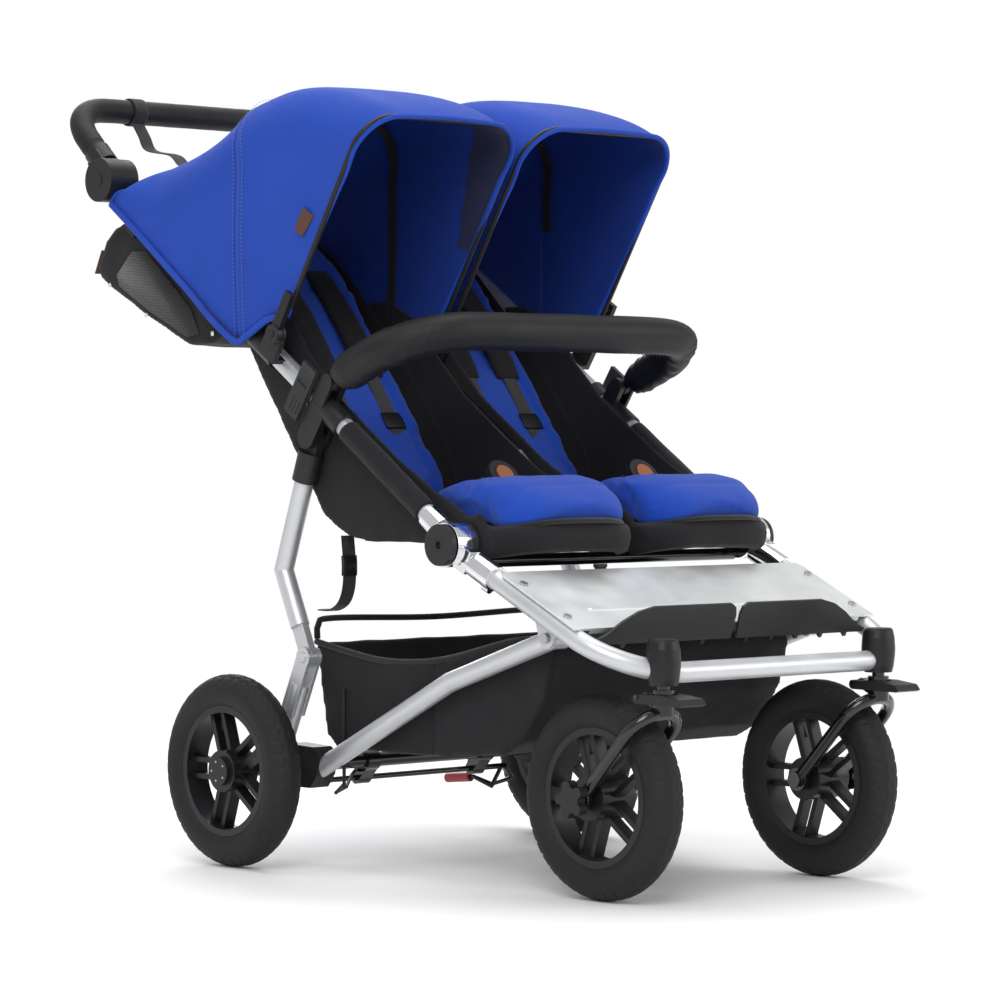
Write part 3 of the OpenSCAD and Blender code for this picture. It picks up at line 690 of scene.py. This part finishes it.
for name, side in SIDES:
    s = -1 if name == "left" else 1
    hoodSide = s

    def underPanel(c):
        y, z = (c.y - YARD) * 1000, c.z * 1000
        x = -abs(c.x) * 1000
        forward = (y + 75) * -0.526 + (z - 700) * 0.85
        back = (y + 75) * 0.85 + (z - 700) * 0.526
        top = forward > 255
        behindRim = back < 70 - (0 if top else 0.35 * (255 - forward))
        return behindRim and (top and (x > -190) or (x > -60 and forward > 130))

    front, rimRows = makeHood("shade_front_" + name, shade["frontFoot"], shade["frontTop"], hoodSide,
        16, underPanel)
    folding = ("upper_frame", "shade_bow_" + name)
    finishPiece(front, folding, "blue_fabric", "canopy_front_" + name)
    rear, rearRows = makeHood("shade_rear_" + name, shade["rearFoot"], shade["rearTop"], hoodSide, 18)
    finishPiece(rear, "upper_frame", "blue_fabric", "canopy_rears")
    rim = tube("shade_rim_" + name, smoothPath(rimRows[0], 120), 0.0032, mats["blue"])
    finishPiece(rim, folding, "blue_fabric")
    tail = tube("shade_tail_" + name, smoothPath(rearRows[-1], 90), 0.0028, mats["blue"])
    finishPiece(tail, "upper_frame", "blue_fabric")
    foot = [at(s * 281, *p) for p in shade["frontFoot"] + shade["rearFoot"][1:]]
    hem = strap("shade_hem_" + name, smoothPath(foot, 90), 0.0045, 0.009, mats["blue"])
    finishPiece(hem, "upper_frame", "blue_fabric")
    outA = hoodRows([(6, 697), (13, 694)], [(8, 1014), (13, 1011.8)], hoodSide, 2, lift=-1.3)
    outB = hoodRows([(24, 696), (25, 697)], [(26, 1005), (27, 1004)], hoodSide, 2, lift=-1.3)
    stitches("shade_stitch_" + name, [smoothPath(outA[0], 150), smoothPath(outB[0], 150)],
        mats["thread"], "upper_frame")
    tape = hoodRows([(14, 700), (15, 700)], [(6, 1002), (7, 1002)], hoodSide, 2, lift=5.0)[0]
    bowTape = sweep("shade_tape_" + name, smoothPath(tape[6:], 90), padSection(0.016, 0.004, 14, 0.3),
        mats["black"], across=(0, 1, 0.05))
    finishPiece(bowTape, "upper_frame", "black_fabric")
    tagPath = [at(s * 281.5, -133, 838), at(s * 284.2, -128, 842), at(s * 284.6, -117, 849)]
    tagObj = sweep("shade_label_" + name, smoothPath(tagPath, 8), padSection(0.0335, 0.0014, 14, 0.2),
        mats["tag"], across=(0, -0.526, 0.85))
    finishPiece(tagObj, folding, "blue_fabric")
print("shades")

# seats
crease = (-138, 458)
backTilt = math.radians(52)


def onBack(x, s, t):
    c, q = math.cos(backTilt), math.sin(backTilt)
    return at(x, crease[0] + s * c - t * q, crease[1] + s * q + t * c)


def backCoords(co):
    y, z = (co.y - YARD) * 1000 - crease[0], co.z * 1000 - crease[1]
    c, q = math.cos(backTilt), math.sin(backTilt)
    return y * c + z * q, -y * q + z * c


padOutline = [(-150, 466), (-168, 450), (-200, 451), (-313, 453), (-430, 457), (-462, 458), (-482, 459),
    (-488, 466), (-486, 478), (-478, 491), (-462, 503),
              (-438, 510), (-400, 511), (-350, 503), (-290, 489), (-220, 478), (-168, 476)]
lipOutline = [(-141, 448), (-165, 439), (-200, 435), (-313, 434), (-430, 428), (-462, 421), (-480, 426),
    (-487, 444), (-482, 458), (-464, 462), (-430, 456),
              (-313, 449), (-200, 447), (-166, 448), (-144, 454)]
wingOutline = [(-144, 446), (-166, 436), (-200, 431), (-313, 431), (-438, 428), (-462, 424),
    (-470, 440), (-462, 462), (-430, 478), (-396, 470),
               (-330, 500), (-266, 536), (-200, 580), (-140, 622), (-92, 668), (-48, 722), (16, 752),
                   (58, 752), (62, 716), (44, 685), (-112, 464)]


def roundFront(obj, centre, half, depth=0.036):
    for v in obj.data.vertices:
        y = (v.co.y - YARD) * 1000
        k = min(1, max(0, (-370 - y) / 90))
        u = min(1, abs(v.co.x - centre) / half)
        v.co.y += depth * k * k * u ** 5
        v.co.z -= 0.008 * u ** 4 * k
    obj.data.update()


for name, s in SIDES:
    def flip(x):
        return s * x

    # cushion with a front roll
    cushion = slabs("seat_cushion_" + name, [(min(flip(24), flip(228)), max(flip(24), flip(228)),
        padOutline)], mats["padBlue"])
    remesh(cushion, 0.0046, 8)
    roundFront(cushion, s * 0.126, 0.102)
    puff(cushion, 4.0, 0.007)

    def quilt(co, n):
        y = (co.y - YARD) * 1000
        d = groove(abs(y + 452), 6, 0.0022) + groove(abs(y + 380), 6, 0.0016) + groove(abs(y + 300), 6,
            0.0016)
        return d * (1 if n.z > 0.2 else 0.25) + 0.0012 * wobble(co, 18, 2.0 + s) + 0.0006 * wobble(co,
            46, 9.0)

    push(cushion, quilt)
    subdivide(cushion)
    finishPiece(cushion, "upper_frame", "blue_fabric", "seat_pad_" + name)
    edge = [at(flip(126 + x), y, z) for x, y, z in [(-102, -380, 455), (-103, -424, 452), (-98, -447,
        452), (-80, -470, 457), (-48, -484, 461), (0, -488, 462), (48, -484, 461), (80, -470, 457),
            (98, -447, 452), (103, -424, 452), (102, -380, 455)]]
    pipe = tube("seat_piping_" + name, smoothPath(edge, 60), 0.0034, mats["piping"])
    finishPiece(pipe, "upper_frame", "black_fabric")
    # backrest pad
    outline = []
    for k in range(60):
        a = 2 * math.pi * k / 60
        c, q = math.cos(a), math.sin(a)
        ps = 246 + 230 * math.copysign(abs(q) ** (0.5 if q > 0 else 0.3), q)
        wide = 94 + 9 * min(1, max(0, (ps - 230) / 150)) + 2.5 * math.sin(ps / 19)
        px = wide * math.copysign(abs(c) ** 0.42, c)
        outline.append((126 + px, ps))
    n, verts = len(outline), []
    for t in (-3, 21):
        verts += [onBack(flip(x), ss, t) for x, ss in outline]
    faces = [tuple(range(n)), tuple(range(2 * n - 1, n - 1, -1))] + [(k, n + k, n + (k + 1) % n,
        (k + 1) % n) for k in range(n)]
    backPad = makeObject("backrest_pad_" + name, verts, faces, mats["padBlue"])
    rows, cols, verts = 34, 41, []
    for i in range(rows):
        ss = 2 + 474 * i / (rows - 1)
        tall = 46 * min(1, 0.3 + ss / 120) * (1 - 0.62 * min(1, max(0, (ss - 250) / 220)))
        round_ = 1 - 0.16 * max(0, (ss - 420) / 54) ** 2
        for j in range(cols):
            u = 2 * j / (cols - 1) - 1
            bend = max(0, (abs(u) - 0.74) / 0.26)
            verts.append(onBack(flip(126 + 107 * round_ * math.copysign(min(1, abs(u) * 1.08), u)), ss,
                -8 + tall * bend ** 1.7))
    shell = makeObject("backrest_shell_" + name, verts, gridFaces(rows, cols), mats["black"])
    push(shell, lambda co, n: 0.0016 * wobble(co, 11, 3 * s) + 0.0008 * wobble(co, 33, s))
    solid(shell, 0.0036, 0)
    subdivide(shell)
    outward(shell)
    finishPiece(shell, "backrest_" + name, "black_fabric")
    bm = bmesh.new()
    bm.from_mesh(backPad.data)
    bmesh.ops.triangulate(bm, faces=bm.faces)
    bmesh.ops.recalc_face_normals(bm, faces=bm.faces)
    bm.to_mesh(backPad.data)
    bm.free()
    remesh(backPad, 0.0054, 8)
    puff(backPad, 4.0, 0.009)

    def backQuilt(co, n):
        ss, tt = backCoords(co)
        across = abs(abs(co.x) - 0.126) * 1000
        front = 1.0 if tt > 12 else 0.0
        side = 0.006 * math.exp(-((across - 74) / 13) ** 2) * (1 if ss < 380 else 0.5)
        d = groove(across - 58, 5, 0.003) + groove(ss - 372, 6,
            0.003) + 0.0014 * math.sin(ss / 23.0) * math.exp(-(across / 60) ** 2)
        return front * (d + side) + 0.0014 * wobble(co, 15, 4.0 * s) + 0.0006 * wobble(co, 44, 1.0)

    push(backPad, backQuilt)
    subdivide(backPad)
    finishPiece(backPad, "backrest_" + name, "blue_fabric", "backrest_" + name)
    # shoulder pads and webbing
    for k, x in enumerate((-164, -88)):
        x = flip(-x) if s > 0 else x
        path = [onBack(x, 404, 26), onBack(x, 380, 31), onBack(x, 330, 35), onBack(x, 280, 36),
            onBack(x, 240, 35), onBack(x, 214, 32)]
        pad = sweep("shoulder_pad_%s_%d" % (name, k), smoothPath(path, 40),
            lambda u: padSection(0.046 - 0.006 * abs(u - 0.5),
                0.0125 * (0.35 + 0.65 * math.sin(math.pi * min(1, max(0, 0.04 + 0.92 * u))) ** 0.35),
                    26, 0.45), mats["black"], across=(1, 0, 0))
        push(pad, lambda co, n: 0.0007 * wobble(co, 40, k))
        subdivide(pad)
        if k == 0:
            finishPiece(pad, "backrest_" + name, "webbing", "harness_" + name)
        else:
            finishPiece(pad, "backrest_" + name, "webbing")
        tail = [onBack(x, 225, 33), onBack(x, 180, 31), onBack(x, 130, 29), onBack(x, 96, 26.5)]
        web = strap("harness_web_%s_%d" % (name, k), smoothPath(tail, 24), 0.025, 0.0022, mats["webbing"])
        finishPiece(web, "backrest_" + name, "webbing")
        slide = sweep("harness_slide_%s_%d" % (name, k), smoothPath([onBack(x, 128, 31.5), onBack(x,
            140, 32.5), onBack(x, 152, 31.5)], 8), padSection(0.033, 0.005, 16, 0.3), mats["nylon"],
                across=(1, 0, 0))
        finishPiece(slide, "backrest_" + name, "black_nylon")
    # waist straps lie over the cushion
    for k, dx in enumerate((-1, 1)):
        path = [at(s * 126 + dx * 90, -190, 482), at(s * 126 + dx * 70, -240, 478),
            at(s * 126 + dx * 40, -300, 487), at(s * 126 + dx * 18, -326, 506)]
        web = strap("waist_web_%s_%d" % (name, k), smoothPath(path, 24), 0.024, 0.002, mats["webbing"],
            across=(0.6 * -dx, -0.8, 0))
        finishPiece(web, "upper_frame", "webbing")
    # sling under the seat
    lo, hi = sorted((flip(12), flip(240)))
    sling = slabs("seat_sling_" + name, [(lo, hi, lipOutline), (*sorted((flip(241), flip(235.5))),
        wingOutline), (*sorted((flip(17), flip(11.5))), wingOutline)], mats["black"])
    remesh(sling, 0.0034, 5)
    roundFront(sling, s * 0.126, 0.114)
    push(sling, lambda co, n: 0.0011 * wobble(co, 14, s) + 0.0006 * wobble(co, 38, 3 * s))
    finishPiece(sling, "upper_frame", "black_fabric", "seat_shells")
    c, q = math.cos(math.radians(34.2)), math.sin(math.radians(34.2))
    sleeve = [at(s * 258, -394 + d * c, 432 + d * q) for d in (70, 100, 130, 160, 190, 220, 252)]
    sock = tube("tube_sleeve_" + name, smoothPath(sleeve, 60), 0.0152, mats["black"], 30)
    push(sock, lambda co, n: 0.0007 * wobble(co, 36, s))
    finishPiece(sock, "upper_frame", "black_fabric")
print("seats")
# pouches behind the seats
pouchOut = [(94, 716), (112, 700), (128, 692), (174, 690), (262, 728), (378, 788), (386, 805),
    (366, 840), (344, 857), (312, 867)]
pouchIn = [(94, 726), (116, 705), (130, 698), (173, 696), (259, 734), (372, 793), (379, 805),
    (361, 835), (340, 850), (310, 861), (280, 880), (94, 760)]
for name, s in SIDES:
    lo, hi = sorted((s * 16, s * 239))
    pouch = slabs("pouch_" + name, [(lo, hi, pouchOut)], [mats["black"], mats["mesh"]])
    cut = slabs("cut", [(lo + 5, hi - 5, pouchIn)], mats["black"])
    boolean = pouch.modifiers.new("cut", "BOOLEAN")
    boolean.operation, boolean.object, boolean.solver = "DIFFERENCE", cut, "EXACT"
    flatten(pouch)
    bpy.data.objects.remove(cut)
    remesh(pouch, 0.0042, 6)
    push(pouch, lambda co, n: 0.002 * wobble(co, 12, 7 * s) + 0.0012 * wobble(co, 30, s))
    finishPiece(pouch, "backrest_" + name, "black_fabric", "pod_" + name)
    outer = s * 239.5
    panel = [(150, 706), (176, 702), (258, 738), (330, 776), (336, 792), (300, 824), (270, 822), (170, 742)]
    netPanel = makeObject("pouch_net_" + name, [at(outer + s * 1.0, y, z) for y, z in panel],
        [tuple(range(len(panel)))], mats["mesh"])
    solid(netPanel, 0.0008, 0)
    finishPiece(netPanel, "backrest_" + name, "black_fabric")
    tagObj = sweep("pouch_label_" + name, smoothPath([at(s * 236, 385.5, 812), at(s * 215, 386.5, 812),
        at(s * 196, 386.5, 812)], 8), padSection(0.036, 0.0014, 14, 0.2), mats["tag"],
            across=(0, -0.42, 0.9))
    finishPiece(tagObj, "backrest_" + name, "black_fabric")
print("pouches")
# basket
basketOut = [(-62, 296), (-128, 284), (-194, 276), (-267, 277), (-335, 286), (-440, 310), (-512, 318),
    (-522, 300), (-505, 240), (-464, 188), (-428, 170), (-298, 158), (-187, 158), (-104, 160), (-86, 176)]
basketIn = [(-66, 340), (-512, 340), (-515, 302), (-499, 243), (-459, 193), (-427, 175), (-298, 163.5),
    (-187, 163.5), (-107, 165), (-91, 180)]
basket = slabs("basket_bag", [(-212, 212, basketOut)], mats["black"])
cut = slabs("cut", [(-207, 207, basketIn)], mats["black"])
boolean = basket.modifiers.new("cut", "BOOLEAN")
boolean.operation, boolean.object, boolean.solver = "DIFFERENCE", cut, "EXACT"
flatten(basket)
bpy.data.objects.remove(cut)
remesh(basket, 0.0046, 5)


def sag(co, n):
    y = (co.y - YARD) * 1000
    d = 0.0022 * wobble(co, 8, 2.0) + 0.0012 * wobble(co, 25, 6.0)
    if abs(co.x) > 0.2:
        d += groove(y + 300, 4, 0.0015)
    return d


push(basket, sag)
finishPiece(basket, "chassis", "black_fabric", "basket")
rimPath = [(-62, 296), (-128, 285), (-194, 277), (-267, 278), (-335, 287), (-440, 311), (-510, 319)]
for name, s in SIDES:
    rimTube = tube("basket_rim_" + name, smoothPath([at(s * 210, y, z) for y, z in rimPath], 80),
        0.0042, mats["piping"])
    finishPiece(rimTube, "chassis", "black_fabric")
rimTube = tube("basket_rim_front", smoothPath([at(x, -511 - 6 * math.cos(x / 135),
    319 - 4 * math.cos(x / 135)) for x in range(-208, 209, 52)], 60), 0.0042, mats["piping"])
finishPiece(rimTube, "chassis", "black_fabric")
rimTube = tube("basket_rim_rear", smoothPath([at(-210, -64, 300), at(-206, -61, 318), at(-180, -60,
    326), at(0, -60, 322), at(180, -60, 326), at(206, -61, 318), at(210, -64, 300)], 70), 0.0042,
        mats["piping"])
finishPiece(rimTube, "chassis", "black_fabric")
print("basket")
# belly bar
barTilt = math.radians(158.1)


def onBar(x, r):
    return at(x, -158 + r * math.cos(barTilt), 636 + r * math.sin(barTilt))


barPath = [onBar(-264, 24), onBar(-264, 60), onBar(-262, 96), onBar(-250, 128), onBar(-226, 156),
    onBar(-190, 172), onBar(-120, 175.5), onBar(0, 176), onBar(120, 175.5), onBar(190, 172),
        onBar(226, 156), onBar(250, 128), onBar(262, 96), onBar(264, 60), onBar(264, 24)]


def barSection(u):
    e = min(u, 1 - u)
    k = min(1, 0.78 + e * 9)
    w, h = 0.0455 * k, 0.049 * k
    return [(w / 2 * math.copysign(abs(math.cos(a)) ** 0.85, math.cos(a)),
        h / 2 * math.copysign(abs(math.sin(a)) ** 0.85,
            math.sin(a))) for a in [2 * math.pi * j / 40 for j in range(40)]]


bar = sweep("belly_bar_cover", smoothPath(barPath, 220), barSection, mats["leather"])


def barWrinkle(co, n):
    bend = max(0.0, 1 - abs(abs(co.x) - 0.245) / 0.05)
    return 0.0011 * wobble(co, 16, 3.0) + 0.0011 * bend * math.sin(co.x * 330 + 60 * wobble(co, 9,
        1.0)) + groove((n.z + 0.55) * 40, 4, 0.001)


push(bar, barWrinkle)
finishPiece(bar, "belly_bar", "bar_cover", "belly_bar")
under = [p + Vector((0, 0.004, -0.0242)) for p in smoothPath([onBar(-205, 166), onBar(-120, 175.5),
    onBar(0, 176), onBar(120, 175.5), onBar(205, 166)], 80)]
stitches("belly_bar_stitch", [under], mats["piping"], "belly_bar", spacing=0.0075,
    length=0.005, radius=0.0008)
for name, s in SIDES:
    lug = tube("belly_bar_lug_" + name, [onBar(s * 262, 9), onBar(s * 262, 30)], 0.0075, mats["nylon"], 24)
    finishPiece(lug, "belly_bar", "black_nylon")
    eye = tube("belly_bar_eye_" + name, [onBar(s * 255.2, 0), onBar(s * 268.8, 0)], 0.0108,
        mats["nylon"], 32)
    finishPiece(eye, "belly_bar", "black_nylon")
print("belly bar")

# handle grip and straps
gripTilt = math.radians(42.7)


def onHandle(x, r, t=0):
    return at(x, 312 + r * math.cos(gripTilt) - t * math.sin(gripTilt),
        921 + r * math.sin(gripTilt) + t * math.cos(gripTilt))


gripHalf = [(258, 62.5), (258, 84), (257, 104), (249, 127), (233, 146), (210, 157.5), (180, 160.6),
    (120, 160.6)]
gripPath = smoothPath([onHandle(-x, r) for x, r in gripHalf] + [onHandle(0, 160.6)] + [onHandle(x,
    r) for x, r in reversed(gripHalf)], 260)
grip = sweep("handle_grip_foam", gripPath,
    lambda u: roundSection(0.0172 if 0.012 < u < 0.988 else 0.0158, 36), mats["foam"])
push(grip, lambda co, n: 0.0003 * wobble(co, 60, 2.0))
finishPiece(grip, "handle", "grip_foam", "handle_grip")
for name, s in SIDES:
    ring = []
    for k in range(33):
        a = 2 * math.pi * k / 32
        ring.append(onHandle(s * 140, 160.6 + 18.9 * math.cos(a), 18.9 * math.sin(a)))
    loop = sweep("wrist_loop_" + name, ring, padSection(0.024, 0.0022, 16, 0.25), mats["webbing"],
        across=(1, 0, 0), closedEnds=False)
    finishPiece(loop, "handle", "webbing", *(["wrist_straps"] if s < 0 else []))
    tail = [onHandle(s * 140, 143, -6), onHandle(s * 140, 118, -10), onHandle(s * 142, 90, -12),
        at(s * 150, 322, 962), at(s * 158, 290, 946), at(s * 160, 272, 941)]
    band = strap("wrist_tail_" + name, smoothPath(tail, 40), 0.022, 0.0022, mats["webbing"])
    finishPiece(band, "handle", "webbing")
hang = [(-146, 438), (-150, 400), (-148.5, 371), (-139, 351), (-120, 340.5), (-98, 339.8)]
for name, s in SIDES:
    band = strap("seat_strap_" + name, smoothPath([at(s * 227, *q) for q in hang], 60), 0.022, 0.0022,
        mats["webbing"])
    finishPiece(band, "upper_frame", "webbing", *(["seat_strap"] if s < 0 else []))
    clip = strap("strap_clip_" + name, [at(s * 227, -149, 412), at(s * 227, -150, 400), at(s * 227,
        -149.6, 386)], 0.025, 0.006, mats["nylon"])
    finishPiece(clip, "upper_frame", "black_nylon")
print("handle")

# tyres
tyreSize = dict(centre=103, half=24, around=504, across=46, depth=1.5, blocks=42)
wheelAt = dict(rear_tyre_left=(-301, 0, 127), rear_tyre_right=(301, 0, 127),
    front_tyre_left=(-193, -590, 127), front_tyre_right=(193, -590, 127))


def zigzag(v):
    v = v % 1
    return 4 * v - 1 if v < 0.5 else 3 - 4 * v


for name, (x0, y0, z0) in wheelAt.items():
    z, verts = tyreSize, []
    for i in range(z["around"]):
        a = 2 * math.pi * i / z["around"]
        turn = i / z["around"] * z["blocks"]
        for j in range(z["across"]):
            phi = math.radians(-150 + 300 * j / (z["across"] - 1))
            deg = abs(math.degrees(phi))
            r = z["half"]
            if deg < 62:
                way = zigzag(turn)
                cut = math.exp(-((math.degrees(phi) - 7 * way) / 3.2) ** 2)
                cut += math.exp(-((deg - 27 - 5 * zigzag(turn + 0.25)) / 3.2) ** 2)
                if deg > 30:
                    cut += math.exp(-(((turn + 0.08 * (deg - 30) / 10) % 1 - 0.5) / 0.09) ** 2) * min(1,
                        (deg - 30) / 8)
                r -= z["depth"] * min(1, cut) * (1 if deg < 54 else (62 - deg) / 8)
            for where, width, rise in ((74, 2.5, 0.35), (108, 3, 0.5), (92, 2.5, -0.3)):
                r += rise * math.exp(-((deg - where) / width) ** 2)
            radius = z["centre"] + r * math.cos(phi)
            verts.append(at(x0 + r * math.sin(phi), y0 + radius * math.cos(a), z0 + radius * math.sin(a)))
    n, m = z["around"], z["across"]
    faces = [(i * m + j, i * m + (j + 1) % m, (i + 1) % n * m + (j + 1) % m,
        (i + 1) % n * m + j) for i in range(n) for j in range(m)]
    tyreObj = makeObject(name + "_tread", verts, faces, mats["tyre"])
    outward(tyreObj)
    finishPiece(tyreObj, name.replace("tyre", "wheel"), "tyre_rubber", name)
    a = math.radians(64)
    stem = tube("valve_" + name, [at(x0 + 3, y0 + r * math.cos(a), z0 + r * math.sin(a)) for r in (80,
        72, 64, 56)], 0.0027, mats["nylon"], 14)
    finishPiece(stem, name.replace("tyre", "wheel"), "black_nylon")
print("tyres")

# rivets
def makeRivetGroup():
    g = bpy.data.node_groups.new("rivet_heads", "GeometryNodeTree")
    g.interface.new_socket("Geometry", in_out="INPUT", socket_type="NodeSocketGeometry")
    for label in ("Radius", "Height"):
        g.interface.new_socket(label, in_out="INPUT", socket_type="NodeSocketFloat")
    g.interface.new_socket("Metal", in_out="INPUT", socket_type="NodeSocketMaterial")
    g.interface.new_socket("Geometry", in_out="OUTPUT", socket_type="NodeSocketGeometry")
    n, link = g.nodes.new, g.links.new
    start, end = n("NodeGroupInput"), n("NodeGroupOutput")
    head, place = n("GeometryNodeMeshUVSphere"), n("GeometryNodeInstanceOnPoints")
    size = n("ShaderNodeCombineXYZ")
    for label, value in (("Segments", 24), ("Rings", 12), ("Radius", 1.0)):
        head.inputs[label].default_value = value
    real, setMat = n("GeometryNodeRealizeInstances"), n("GeometryNodeSetMaterial")
    link(start.outputs["Geometry"], place.inputs["Points"])
    link(head.outputs["Mesh"], place.inputs["Instance"])
    link(start.outputs["Height"], size.inputs[0])
    link(start.outputs["Radius"], size.inputs[1])
    link(start.outputs["Radius"], size.inputs[2])
    link(size.outputs[0], place.inputs["Scale"])
    link(place.outputs["Instances"], real.inputs[0])
    link(real.outputs[0], setMat.inputs["Geometry"])
    link(start.outputs["Metal"], setMat.inputs["Material"])
    link(setMat.outputs[0], end.inputs[0])
    return g


rivetGroup = makeRivetGroup()


def rivets(name, points, radius, height, material, body, slotName):
    mesh = bpy.data.meshes.new(name)
    mesh.from_pydata([tuple(p) for p in points], [], [])
    obj = bpy.data.objects.new(name, mesh)
    bpy.context.scene.collection.objects.link(obj)
    mod = obj.modifiers.new("rivets", "NODES")
    mod.node_group = rivetGroup
    for item in rivetGroup.interface.items_tree:
        if item.in_out == "INPUT" and item.name in ("Radius", "Height", "Metal"):
            mod[item.identifier] = {"Radius": radius, "Height": height, "Metal": material}[item.name]
    flatten(obj)
    return finishPiece(obj, body, slotName)


for name, s in SIDES:
    rivets("pivot_rivet_" + name, [at(s * 292, -75, 700)], 0.0085, 0.003, mats["screw"], "upper_frame",
        "steel_screw")
    rivets("leg_rivets_" + name, [at(s * 272, -117, 567), at(s * 272, -104, 540)], 0.003, 0.0012,
        mats["screw"], "upper_frame", "steel_screw")
    rivets("pouch_studs_" + name, [at(s * 241, 120, 706), at(s * 241, 268, 734), at(s * 241, 352, 778)],
        0.0035, 0.0012, mats["plate"], "backrest_" + name, "bright_plate")
for name, (x0, y0, z0) in wheelAt.items():
    s = 1 if x0 > 0 else -1
    if name.startswith("rear"):
        bolts = [at(s * 327.2, 13 * math.cos(k * 1.2566),
            127 + 13 * math.sin(k * 1.2566)) for k in range(5)]
        rivets("hub_bolts_" + name, bolts, 0.0016, 0.0008, mats["screw"], name.replace("tyre", "wheel"),
            "steel_screw")
print("rivets")
